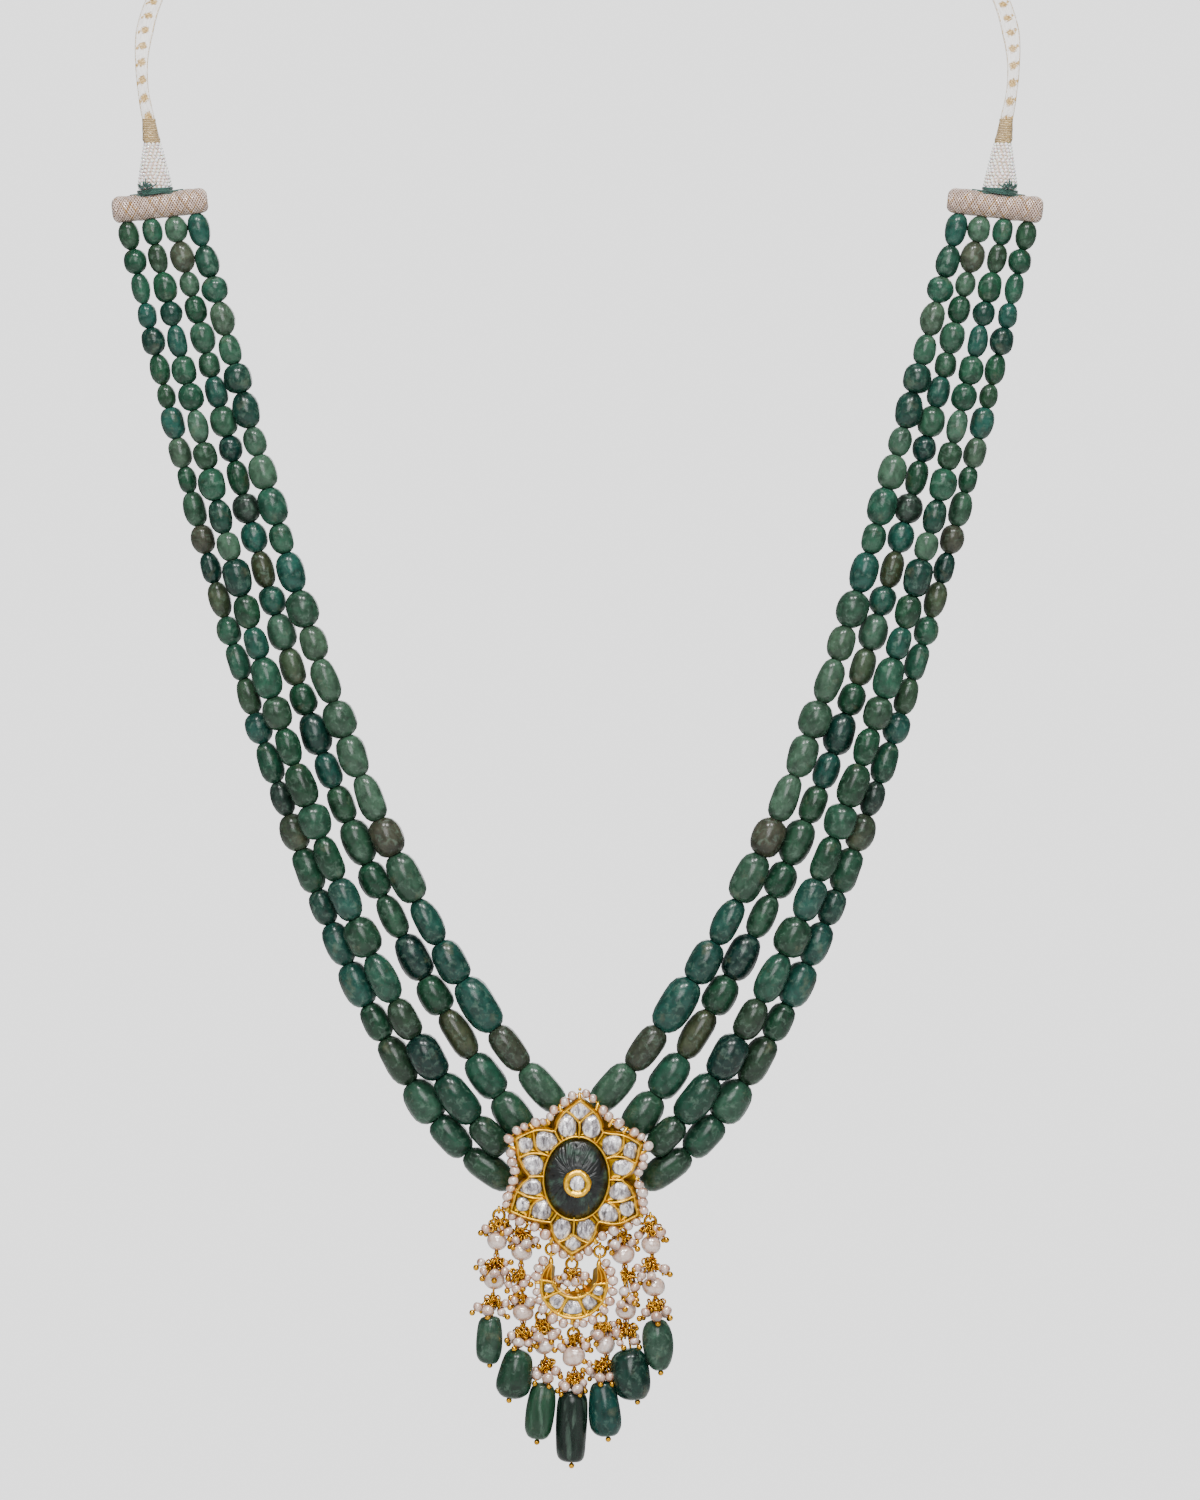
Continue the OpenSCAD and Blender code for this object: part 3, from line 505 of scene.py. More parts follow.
# The outline, walked to the right from the top tip
OUTLINE = np.array([
    (-0.1, 21.9), (2.0, 20.4), (3.9, 18.9), (5.5, 17.2), (6.5, 15.0), (6.8, 13.2), (8.6, 13.0),
    (10.7, 13.0), (12.6, 12.7), (15.0, 11.7), (17.5, 10.3), (17.0, 8.1), (16.3, 5.1), (15.4, 2.6),
    (13.9, 1.0), (12.5, 0.3), (14.0, -0.4), (15.3, -1.8), (16.2, -3.8), (16.9, -6.2), (17.6, -9.2),
    (15.5, -10.5), (12.8, -11.9), (10.0, -12.3), (8.1, -12.0), (6.7, -11.8), (6.5, -12.8),
    (6.4, -14.3), (5.7, -16.1), (4.3, -17.8), (2.0, -19.6), (-0.2, -21.1), (-2.2, -19.7),
    (-4.4, -17.8), (-5.7, -16.2), (-6.4, -14.3), (-6.6, -12.5), (-7.9, -12.5), (-10.0, -12.3),
    (-12.8, -11.8), (-15.5, -10.9), (-17.9, -10.1), (-17.4, -8.0), (-16.8, -5.5), (-16.0, -3.4),
    (-14.7, -1.4), (-13.0, -0.2), (-14.9, 2.1), (-16.3, 5.0), (-16.9, 7.8), (-17.5, 10.2),
    (-15.6, 11.2), (-13.0, 12.5), (-10.9, 13.1), (-8.8, 13.2), (-7.3, 12.9), (-6.6, 12.9),
    (-6.6, 14.6), (-5.8, 16.4), (-4.7, 18.0), (-3.5, 19.0), (-1.8, 20.5)])
WALLS = [
    [(0.1, 11.4), (0.2, 13.6), (0.1, 15.5)], [(0.1, 15.5), (-1.4, 17.3), (-3.6, 18.7)],
    [(0.1, 15.5), (1.6, 17.4), (3.8, 18.9)],
    [(8.4, 6.1), (10.8, 7.1), (12.3, 8.6), (12.8, 10.5), (12.6, 12.7)],
    [(8.4, 6.1), (10.8, 6.8), (13.3, 6.6), (16.1, 5.1)],
    [(9.2, -6.2), (11.8, -6.1), (14.2, -5.4), (16.5, -4.1)],
    [(9.2, -6.2), (11.5, -7.3), (12.7, -9.3), (12.6, -11.8)],
    [(-0.1, -11.1), (0, -13.4), (-0.1, -15.6)], [(-0.1, -15.6), (-1.7, -17.1), (-4.1, -18)],
    [(-0.1, -15.6), (1.8, -17.1), (4.1, -17.8)], [(-9, -6), (-12, -6.1), (-14, -5.6), (-16.6, -4.4)],
    [(-9, -6), (-11.3, -7), (-12.4, -8.8), (-12.7, -11.7)],
    [(-8.4, 6), (-10.9, 6.8), (-12.2, 8.7), (-12.7, 12.7)],
    [(-8.4, 6), (-11.6, 6.6), (-14.1, 6.2), (-16.2, 5)], [(6.7, 12.9), (6.1, 11.8), (5.2, 10.5)],
    [(12.4, 0.2), (10.8, 0.2), (9.2, 0.2)], [(6.7, -11.6), (5.9, -10.8), (5.1, -9.9)],
    [(-6.5, -12.4), (-5.8, -11.4), (-5.1, -10.2)], [(-13.0, -0.2), (-11.3, 0), (-9.3, 0.1)],
    [(-6.5, 12.7), (-5.9, 11.5), (-5.1, 10.3)]]


def outline_reach(angle):
    """Distance from the centre to the outline at each angle, straight between its points, then
    averaged over a few neighbours so that corners are as soft as filed gold."""
    a = np.arctan2(OUTLINE[:, 1], OUTLINE[:, 0])
    order = np.argsort(a)
    r = np.interp(angle, a[order], np.hypot(*OUTLINE.T)[order], period=2 * np.pi)
    return sum(np.roll(r, k) * w for k, w in zip(range(-3, 4), (1, 2, 3, 4, 3, 2, 1))) / 16


def rounded(line, steps=6):
    """A bent line with more points: each three neighbours make a small curve that ends at their middles."""
    p = np.asarray(line, float)
    middles = (p[:-1] + p[1:]) / 2
    t = np.linspace(0, 1, steps, endpoint=False)[:, None]
    curves = [(1 - t) ** 2 * a + 2 * t * (1 - t) * b + t * t * c
              for a, b, c in zip(middles[:-1], p[1:-1], middles[1:])]
    return np.concatenate([p[:1]] + curves + [middles[-1:], p[-1:]])


def distance_to(points, line):
    """Shortest distance from each point to a bent line: the least over its pieces of |p - a - t (b - a)|."""
    a, b = line[:-1], line[1:]
    d = b - a
    t = np.clip(((points[:, None] - a) * d).sum(-1) / (d * d).sum(-1), 0, 1)
    return np.linalg.norm(points[:, None] - a - t[..., None] * d, axis=-1).min(1)


def wander(p, scale, seed=0):
    """A slow, smooth unevenness between -1 and 1: four crossed waves with no common length."""
    x, y = p[..., 0] / scale, p[..., 1] / scale
    return (np.sin(1.7 * x + 2.3 * y + seed) + np.sin(2.9 * x - 1.3 * y + 2 * seed)
            + np.sin(-1.1 * x + 3.1 * y + 3 * seed) + np.sin(3.7 * x + 0.7 * y + 5 * seed)) / 4


def kundan(face, distance, floor, crest, width):
    """Height of the gold, and how much of a crest each point is: a slope of foil exp(-d / 0.5) that leans
    on the walls, and the wall's burnished top, 1 / (1 + (d / width)^4), where d is the distance to a wall."""
    d = np.maximum(distance * (1 + 0.07 * wander(face, 1.9)), 0)
    slope = 0.26 * (crest - floor) * np.exp(-d / 0.5)
    top = 1 / (1 + (d / width) ** 4)
    return floor + slope + 0.7 * (crest - floor) * top + 0.02 * wander(face, 1.4, 4) * (1 - top), top


# %% The gold of the flower
columns, rows = 960, 84
angle = np.linspace(-np.pi, np.pi, columns, endpoint=False)
rim = outline_reach(angle) + 0.68     # the table is the crest of the outer wall, and its foot is farther out
oval = 1 / np.sqrt((np.cos(angle) / (OVAL[0] + 0.05)) ** 2 + (np.sin(angle) / (OVAL[1] + 0.05)) ** 2)
share = np.linspace(0, 1, rows)[:, None]
radius = oval * (1 - share) + rim * share
across = np.stack([np.cos(angle), np.sin(angle)], -1)
face = (radius[..., None] * across).reshape(-1, 2)


def ring_line(reach, step):
    """A closed bent line round the centre."""
    line = (reach[:, None] * across)[::step]
    return np.concatenate([line, line[:1]])


nearest = np.abs(distance_to(face, ring_line(rim, 5)) - 0.62)
for line in [ring_line(oval + 0.45, 12)] + [rounded(w) for w in WALLS]:
    nearest = np.minimum(nearest, distance_to(face, line))
height, crest = kundan(face, nearest, floor=2.9, crest=4.2, width=0.38)
top = np.concatenate([face, height[:, None]], -1).reshape(rows, columns, 3)


def band(reach, z):
    """One ring of the grid at a given distance and height."""
    return np.concatenate([reach[:, None] * across, np.full((columns, 1), z)], -1)


# Behind the walls lies the back plate. It stands out a little, and it fills the notches between the petals
SPREAD = 52                                              # columns on either side that share one filling
mean_rim = sum(np.roll(rim, k) for k in range(-SPREAD, SPREAD + 1)) / (2 * SPREAD + 1)
shelf = np.maximum(rim + 0.55, mean_rim + 0.35)
# Its rings, from the front round to the back: reach, height, how much of a crest each is, which sets
# their painted light and shade
behind = [(rim + 0.12, 3.0, 0.5), (rim + 0.3, 1.6, 0.15), (rim + 0.4, 0.95, 0.1), (shelf, 0.85, 0.3),
          (shelf + 0.05, 0.4, 0.6), (shelf - 0.15, 0.0, 0.6), (shelf - 1.0, 0.0, 0.6),
          (shelf - 1.3, 0.3, 0.3), (shelf * 0.8, 0.3, 0.5), (oval * 0.5, 0.2, 0.5)]
layers = np.stack([band(oval * 0.96, 2.2)] + list(top) + [band(*b[:2]) for b in behind])
# Crest values paint light and shade on the gold: the ring under the carved stone's edge gets 0, painted shade
crest = np.concatenate([np.zeros(columns), crest, np.repeat([b[2] for b in behind], columns), [0.5, 0.5]])
plate = capped(from_face(layers), from_face([0, 0, 2.2]), from_face([0, 0, 0]), True, crest=crest)
print("flower grid", rows, "by", columns, "heights", height.min().round(2), "to", height.max().round(2), "mm")

# %% [markdown]
# ### The look of the gold
#
# Kundan foil is almost pure and deep yellow. Its colour also carries painted light: it is darker where the
# gold lies low and catches only other gold, which is painted shade, and paler on the crests, which are
# burnished and face the lamps, which is painted highlight. The crest value on the mesh sets this painted
# light and shade. Hand pressing leaves fine dents, so the roughness and relief come from noise less than a
# millimetre wide. The wires are of a harder, browner alloy, and dirt stays between their turns.


# %% Gold
def gold(name, low, high, dirt, rough, dent):
    """A gold alloy: low colour in recesses as painted shade, high colour on crests as painted highlight,
    with dents and uneven polish.
    """
    m = new_material(name, Metallic=1.0)
    own = add(m, "TexCoord")
    painted_light_by_crest = add(m, "Attribute", settings=[("attribute_name", "crest")])
    fine = add(m, "TexNoise", [("Vector", own, "Object")], Scale=600.0, Detail=2.0, Roughness=0.5)
    broad = add(m, "TexNoise", [("Vector", own, "Object")], Scale=260.0, Detail=3.0)
    # Painted light: darker in recesses as painted shade, paler on crests as painted highlight
    tone = ramp(m, painted_light_by_crest, "Fac", [(0.05, low), (0.75, high)])
    stain = ramp(m, broad, "Fac", [(0.35, dirt), (0.62, "#ffffff")])
    colour = add(m, "Mix", [(6, tone, "Color"), (7, stain, "Color")], MULTIPLY, i0=0.35)
    polish = ramp(m, broad, "Fac", [(0.3, rough[0]), (0.7, rough[1])])
    pressed = add(m, "Bump", [("Height", broad, "Fac")], Strength=0.035, Distance=0.0006)
    relief = add(m, "Bump", [("Height", fine, "Fac"), ("Normal", pressed, "Normal")],
                 Strength=dent, Distance=0.0001)
    finish_with(m, [("Base Color", colour, 2), ("Roughness", polish, "Color"), ("Normal", relief, "Normal")])
    return m


FOIL = gold("pure_gold_foil", low="#a67c0a", high="#f6c234", dirt="#a88432",
            rough=("#a0a0a0", "#8a8a8a"), dent=0.04)
WIRE = gold("gold_wire", low="#9a6812", high="#e0a830", dirt="#8c6020",
            rough=("#8c8c8c", "#707070"), dent=0.04)


def wire_loop(centre, radius, wire, turn, segments, sides, oval=1.0):
    """A closed ring of wire whose plane is spanned by the first two columns of turn."""
    a = around(segments)[:, None]
    path = np.cos(a) * turn[:, 0] * radius + np.sin(a) * turn[:, 1] * radius * oval + centre
    return tube(path, wire, sides, across=turn[:, 2], closed=True)


def rod(a, b, radius, sides=6):
    """A straight piece of wire."""
    a, b = np.asarray(a, float), np.asarray(b, float)
    d = unit(b - a)
    side = np.array([0, 1.0, 0]) if abs(d[1]) < 0.9 else np.array([1.0, 0, 0])
    return tube(np.linspace(a, b, 3), radius, sides, across=side)


def with_crest(shape, value=0.6):
    """Gives every point the same crest value, where a shape has none. The value sets the gold's painted
    highlight.
    """
    shape.values.setdefault("crest", np.full(len(shape.points), value))
    return shape


UNIT_BALL, SMALL_BALL = ball(12, 16), ball(7, 9)

# %% [markdown]
# The edge carries small pegs, and one wire runs through them and through all the seed pearls. On the back
# the posts, which take the threads, and the lugs, which take the rings, are soldered under the edge, as
# in the CAD. They show from the side, so they are made here with rounded edges.

# %% Pegs, posts and lugs
# Seed pearls round the edge: x, y, radius, walked to the right from the top
RIM_PEARLS = np.array([
    [1.5, 23.8, 1.16], [3.5, 22.5, 1.09], [6.5, 19.3, 1.3], [8.1, 17.7, 1.3], [11.1, 15.9, 1.45],
    [15.5, 13.6, 1.26], [17.5, 12.4, 1.12], [19.6, 10.0, 1.33], [18.5, 6.8, 1.16], [18.3, 4.6, 1.22],
    [17.3, 2.5, 1.15], [17.6, -1.0, 1.26], [18.7, -3.2, 1.4], [18.9, -5.8, 1.3], [19.3, -8.1, 1.16],
    [17.4, -11.3, 1.12], [15.2, -12.6, 1.16], [11.1, -14.1, 1.45], [8.1, -15.8, 1.26],
    [4.3, -20.1, 1.38], [1.8, -21.9, 1.16], [-2.6, -21.4, 1.23], [-4.8, -19.8, 1.3],
    [-7.9, -16.2, 1.45], [-11.0, -14.1, 1.33], [-15.2, -12.7, 1.26], [-17.4, -11.5, 1.2],
    [-19.3, -8.3, 0.98], [-19.0, -6.1, 1.3], [-18.2, -3.9, 1.2], [-17.6, -1.6, 1.3],
    [-17.3, 1.2, 1.28], [-18.2, 3.6, 1.3], [-18.7, 6.1, 1.2], [-19.4, 10.0, 1.38], [-17.3, 12.4, 1.24],
    [-15.3, 13.6, 1.09], [-12.2, 14.9, 1.32], [-10.1, 15.3, 0.95], [-8.2, 16.8, 1.12],
    [-7.2, 18.7, 1.24], [-4.3, 21.1, 1.3], [-2.3, 23.0, 1.24]])
PEGS = np.array([(-0.3, 23.7), (5.0, 21.2), (9.4, 16.9), (13.5, 14.6), (18.8, 8.4), (17.2, 0.7), (18.9, -9.7),
                 (6.3, -17.8), (-0.2, -22.5), (-6.2, -18.2), (-19.2, -9.9), (-16.9, -0.1), (-19.1, 8.0),
                 (-13.8, 14.3), (-9.0, 15.9), (-5.7, 20.0)])
PEARL_Z = 2.3
stops = np.concatenate([RIM_PEARLS[:, :2], PEGS])
stops = stops[np.argsort(-np.arctan2(stops[:, 1], stops[:, 0]))]
rim_wire = np.concatenate([stops, np.full((len(stops), 1), PEARL_Z)], -1)
gold_parts = [plate, with_crest(tube(from_face(rim_wire), 0.2, 5, closed=True))]
reach_at = outline_reach(np.arctan2(PEGS[:, 1], PEGS[:, 0]))
for place, reach in zip(PEGS, reach_at):
    out = unit(place)
    start = np.append(out * (reach - 0.6), 2.5)
    end = np.append(out * (np.hypot(*place) + 0.45), PEARL_Z)
    peg = tube(from_face(np.linspace(start, end, 4)), [0.5, 0.5, 0.52, 0.4], 8)
    gold_parts.append(with_crest(peg, 0.8))
knob = stamp(SMALL_BALL, from_face([-0.3, 24.9, PEARL_Z]), np.eye(3), 0.5)
gold_parts.append(with_crest(knob, 0.8))
for x, z in [s[9] for s in STRINGS]:
    for side in (1, -1):
        ends = WORN + [[side * x - 0.3, y, z] for y in (1.2, -4.5)]
        gold_parts.append(with_crest(rod(*ends, 0.8, 12)))


def lug(start, eye, z, turn):
    """A soldered arm from start that ends in an eye. turn gives the way the eye's hole points."""
    start, eye = np.asarray(start, float), np.asarray(eye, float)
    out = unit(start - eye)
    path = np.column_stack([np.linspace(start, eye + out * 0.85, 4), np.full(4, z)])
    arm = tube(from_face(path), [0.8, 0.74, 0.65, 0.5], 8)
    hole = np.array([np.cos(np.radians(turn)), np.sin(np.radians(turn)), 0])
    flat = FACE_TURN @ np.stack([np.cross(hole, [0, 0, 1.0]), [0, 0, 1.0], hole], -1)
    loop = wire_loop(from_face([eye[0], eye[1], z]), 0.84, 0.38, flat, 16, 8)
    return [with_crest(arm, 0.7), with_crest(loop, 0.7)]


HINGES = np.array([[0.8 - 6.8, -21.85], [0.8 + 6.8, -21.85]])
TIP_RING = np.array([-1.3, -24.1])
RING_R, RING_WIRE, LUG_Z = 1.55, 0.43, -0.5
for hinge in HINGES:
    gold_parts += lug([np.sign(hinge[0]) * 4.2, -15.5], hinge + [0, 2 * RING_R], LUG_Z, 0)
eyes = {0: TIP_RING, 1: (-21.7, -10.5), 2: (-15.3, -12.9), 6: (12.4, -15.3), 7: (20.7, -12.2)}
for i, (x, z) in eyes.items():
    eye = turned([x, z + RING_R], LEAN)
    gold_parts += lug(eye * 0.72 if i else [0, -20.5], eye, LUG_Z, LEAN)
put("flower_gold", join(gold_parts), FOIL, "necklace", ["star_setting"])
print("flower gold", counted["flower_gold"], "triangles")

# %% [markdown]
# ## Polki stones
#
# Polki is uncut diamond: a flat slice of crystal with a few low facets, set over foil that throws the
# light back. The eye sees silver-white with grey patches and specks, and a dark line where the stone
# meets the gold. Each one here is a low dome cut by a few tilted planes: its height is the least of them.

# %% Polki shapes
STONES = [  # x, y, half width, half height, the way of its point in degrees, how pointed
    [0.1, 18.7, 2.9, 2.3, 90, 0.1], [-3.3, 14.3, 2.6, 3.0, 100, 0.22], [3.5, 14.6, 2.7, 3.1, 70, 0.2],
    [9.6, 10.0, 2.7, 2.6, 235, 0.16], [14.6, 8.5, 1.95, 2.2, 80, 0.1], [12.9, 3.7, 3.0, 2.3, 10, 0.18],
    [12.5, -3.1, 2.8, 2.45, 180, 0.06], [14.6, -7.8, 2.0, 2.0, 60, 0.08], [9.5, -9.3, 2.8, 2.5, 140, 0.1],
    [3.4, -14.0, 2.6, 2.8, 300, 0.2], [-3.3, -14.1, 2.55, 2.7, 260, 0.18], [0, -18.0, 2.2, 2.0, 270, 0.12],
    [-9.3, -9.4, 2.7, 2.6, 90, 0.14], [-14.6, -8.1, 1.85, 1.8, 100, 0.1], [-12.5, -3.0, 2.9, 2.3, 170, 0.16],
    [-12.5, 3.4, 3.0, 2.6, 280, 0.2], [-14.7, 8.7, 2.1, 2.0, 260, 0.1], [-9.0, 9.9, 2.9, 2.6, 120, 0.05]]


def cut_polki(half_w, half_h, point, sharp, rng, low=0.75, full=2.3, rows=12, columns=36):
    """A flat cut stone on z = 0. Its outline is an oval, |x|^full + |y|^full = 1, drawn out towards one
    side. Its height is the least of a tilted table and seven tilted planes round it. A short wall goes down
    below."""
    a = around(columns)
    grow = 1 + sharp * (np.maximum(np.cos(a - np.radians(point)), 0) ** 5 - 0.25)
    grow = grow + 0.03 * np.sin(3 * a + rng.uniform(0, 6))
    grow = grow * (np.abs(np.cos(a)) ** full + np.abs(np.sin(a)) ** full) ** (-1 / full)
    edge = np.stack([half_w * np.cos(a), half_h * np.sin(a)], -1) * grow[:, None]
    share = np.concatenate([[1.0, 1.0], np.linspace(0.985, 0.08, rows)])[:, None, None]
    flat = edge * share
    ways = rng.uniform(0, 6) + np.arange(7) * 2 * np.pi / 7 + rng.uniform(-0.3, 0.3, 7)
    reach = np.hypot(half_w * np.cos(ways), half_h * np.sin(ways)) * rng.uniform(0.72, 0.98, 7)
    tilt = rng.uniform(-0.09, 0.09, 2)
    planes = [low + flat @ tilt]
    for w, r in zip(ways, reach):
        n = np.array([np.cos(w), np.sin(w)])
        planes.append(0.25 + (r - flat @ n) * rng.uniform(0.3, 0.65))
    z = np.maximum(np.minimum.reduce(planes), 0.12)
    z[0] = under = -0.4
    near = np.append(np.broadcast_to(share[..., 0], z.shape).ravel(), [1, 0])
    rings = np.concatenate([flat, z[..., None]], -1)
    return capped(rings, [0, 0, under], [0, 0, z[-1].mean()], near=near)


def on_spot(shape, spot, base, turn=0.0):
    """Moves a shape made at the origin to a spot on the flower's face."""
    p = shape.points
    flat = turned(p[:, :2], turn) + np.asarray(spot)
    shape.values["stone"] = p + np.array([spot[0] * 7, spot[1] * 7, 0])
    shape.points = from_face(np.column_stack([flat, p[:, 2] + base]))
    return shape


# %% Polki material
POLKI = new_material("polki_diamond_on_foil", Metallic=0.5, IOR=2.0, Coat_Weight=0.8, Coat_Roughness=0.08)
where = add(POLKI, "Attribute", settings=[("attribute_name", "stone")])
near = add(POLKI, "Attribute", settings=[("attribute_name", "near")])
# Growth lines: the patches are drawn out one way
grown = add(POLKI, "Mapping", [("Vector", where, "Vector")], Rotation=(0, 0, 0.35), Scale=(1.0, 0.38, 1.0))
patch = add(POLKI, "TexNoise", [("Vector", grown, "Vector")], Scale=0.72, Detail=5.0, Roughness=0.6,
            Distortion=0.7)
dust = add(POLKI, "TexNoise", [("Vector", where, "Vector")], Scale=3.2, Detail=5.0, Roughness=0.7)
silver = ramp(POLKI, patch, "Fac",
              [(0.31, "#3a3536"), (0.42, "#837c80"), (0.51, "#c0bbc0"), (0.60, "#ffffff")])
specks = ramp(POLKI, dust, "Fac", [(0.33, "#1c1715"), (0.42, "#c8c2bf"), (0.52, "#ffffff")])
speckled = add(POLKI, "Mix", [(6, silver, "Color"), (7, specks, "Color")], MULTIPLY, i0=0.65)
rim_shade = ramp(POLKI, near, "Fac", [(0.85, "#ffffff"), (0.93, "#6a5a48"), (1.0, "#181008")])
framed = add(POLKI, "Mix", [(6, speckled, 2), (7, rim_shade, "Color")], MULTIPLY, i0=0.85)
uneven = add(POLKI, "Bump", [("Height", patch, "Fac")], Strength=0.9, Distance=0.0004)
clarity = ramp(POLKI, dust, "Fac", [(0.3, "#909090"), (0.7, "#6c6c6c")])
finish_with(POLKI, [("Base Color", framed, 2), ("Roughness", clarity, "Color"), ("Normal", uneven, "Normal")])

rng = np.random.default_rng(5)
cut = [on_spot(cut_polki(1.08 * w, 1.08 * h, point, 1.4 * sharp, rng), (x, y), 3.1)
       for x, y, w, h, point, sharp in STONES]
put("petal_polki", join(cut), POLKI, "necklace", ["petal_stones"], smooth=False)
middle_stone = on_spot(cut_polki(2.15, 2.15, 40, 0.03, rng, low=0.8), (0.3, -1.3), 5.9)
put("centre_diamond", middle_stone, POLKI, "necklace", ["centre_polki"], smooth=False)

# %% [markdown]
# ## The carved stone and its collet
#
# The centre is one dark green stone, carved with petals that radiate from the gold collet. The strokes
# are cut by hand on a small wheel: a dozen broad leaves, and fine scores that split towards the edge.
# The dome's profile turned about the centre gives the form, and the carving is taken off it. The cuts are
# painted darker as painted shade in the grooves, and grey-blue patches are painted on as glints.

# %% Carved stone
rows, columns = 56, 300
a = around(columns)[None, :]
s = np.concatenate([[1.0, 1.0], np.linspace(0.995, 0.32, rows - 2)])[:, None]
dome = 2.3 + 3.0 * (1 - s ** 2.6) ** 0.62
lean_in = 0.35 * np.sin(2 * a + 1) * (1 - s)
leaves = np.abs(np.sin(6 * (a + lean_in) + 0.6 * np.sin(3 * a))) ** 0.7
split = 3.2 * np.sin(5 * a) + 2.1 * np.sin(9 * a + 1) + 3 * s
scores = np.abs(np.sin(21 * (a + 1.6 * lean_in) + split)) ** 0.5
short = 0.35 + 0.65 * np.sin(5 * a + 9 * s + 2.4 * np.sin(7 * a)) ** 2
veins = np.abs(np.sin(41 * a + 4 * np.sin(7 * a + 5 * s) + 6 * s))
fade = smoothstep((s - 0.30) / 0.2) * (1 - 0.75 * smoothstep((s - 0.88) / 0.12))
uneven = 0.45 + 0.55 * np.sin(4 * a + 5 * s + 1) ** 2
cut_depth = fade * (0.3 * (1 - leaves) * uneven + 0.3 * (1 - scores) * short + 0.04 * veins)
z = dome - cut_depth
z[0] = under = 1.9
grid = np.stack([s * OVAL[0] * np.cos(a), s * OVAL[1] * np.sin(a), z], -1)
# Painted shade in the grooves: 1 on the uncut dome, less the deeper the cut
worn_off = np.append(1 - cut_depth / cut_depth.max(), [1, 1])
carved = capped(grid, [0, 0, under], [0, 0, z[-1].mean()], worn_off=worn_off)
carved.values["stone"], carved.points = carved.points, from_face(carved.points)
CARVED = new_material("carved_dark_green_stone", Specular_IOR_Level=0.3, Coat_Weight=0.1, Coat_Roughness=0.15)
where = add(CARVED, "Attribute", settings=[("attribute_name", "stone")])
high = add(CARVED, "Attribute", settings=[("attribute_name", "worn_off")])
smoke = add(CARVED, "TexNoise", [("Vector", where, "Vector")], Scale=0.22, Detail=6.0, Roughness=0.6)
grain = add(CARVED, "TexNoise", [("Vector", where, "Vector")], Scale=2.0, Detail=6.0, Roughness=0.7)
deep_tone = ramp(CARVED, smoke, "Fac", [(0.36, "#070908"), (0.50, "#141917"), (0.64, "#344b3f")])
# Painted shade: the deeper the cut, the darker the stone
bright = ramp(CARVED, high, "Fac", [(0.15, "#5a5a5a"), (0.75, "#b8b8b8"), (1.0, "#ffffff")])
toned = add(CARVED, "Mix", [(6, deep_tone, "Color"), (7, bright, "Color")], MULTIPLY, i0=0.9)
# Painted reflection: grey-blue patches at random that stand for glints on the scored surface
glint_patch_mask = ramp(CARVED, grain, "Fac", [(0.55, "#000000"), (0.80, "#7c7c7c")])
glint_patched = add(CARVED, "Mix", [(0, glint_patch_mask, "Color"), (6, toned, 2)], MIX, i7=linear("#4c5860"))
sheen_map = ramp(CARVED, grain, "Fac", [(0.3, "#8f8f8f"), (0.7, "#a5a5a5")])
tooled = add(CARVED, "Bump", [("Height", grain, "Fac")], Strength=0.12, Distance=0.00015)
finish_with(CARVED, [("Base Color", glint_patched, 2), ("Roughness", sheen_map, "Color"),
                     ("Normal", tooled, "Normal")])
put("carved_stone", carved, CARVED, "necklace", ["centre_stone"])

# %% Collet: a thick rolled edge of foil round the middle diamond
# Radius, height, how much of a crest it is, which sets its painted highlight and shade
profile = np.array([(3.75, 5.0, 0.2), (3.95, 5.5, 0.4), (3.98, 5.95, 0.6), (3.75, 6.4, 0.9), (3.3, 6.72, 1),
                    (2.8, 6.7, 0.9), (2.45, 6.4, 0.5), (2.2, 6.2, 0.2), (2.0, 6.0, 0)])
columns = 96
a = around(columns)[None, :]
r = profile[:, :1] + 0.05 * np.sin(5 * a + 1) + 0.03 * np.sin(11 * a)
z = profile[:, 1:2] + 0.06 * np.sin(3 * a) + 0.04 * np.sin(8 * a + 2)
grid = from_face(np.stack([0.3 + r * np.cos(a), -1.3 + r * np.sin(a), z], -1))
painted_light_by_crest = np.append(np.repeat(profile[:, 2], columns), [0, 0])
collet = capped(grid, from_face([0.3, -1.3, 5.0]), from_face([0.3, -1.3, 5.6]), crest=painted_light_by_crest)
put("collet", collet, FOIL, "necklace", ["centre_collet"])
print("stones", counted["petal_polki"], "carved", counted["carved_stone"])

# %% [markdown]
# ## Pearls
#
# Round the gold runs a row of small river pearls, slightly flattened and pinkish, and each dangle has one
# or two large ones. A pearl is lustrous rather than shiny: light goes a little way into the nacre and comes
# back, so the shader gets a clear coat over a soft body that scatters. The pearls of one bunch differ from
# cream to rose, so each one's colour is kept on its mesh. Each pearl is also painted brown towards the two
# points where its wire goes in: painted shade at its edges and between neighbouring pearls.

# %% Pearl material and shape
PEARL = new_material("freshwater_pearl", IOR=1.53, Specular_IOR_Level=0.8, Coat_Weight=1.0, Coat_IOR=2.2,
                     Coat_Roughness=0.2, Subsurface_Weight=0.06, Subsurface_Radius=(1.0, 0.9, 0.8),
                     Subsurface_Scale=0.001)
where = add(PEARL, "Attribute", settings=[("attribute_name", "stone")])
tint = add(PEARL, "Attribute", settings=[("attribute_name", "body_colour")])
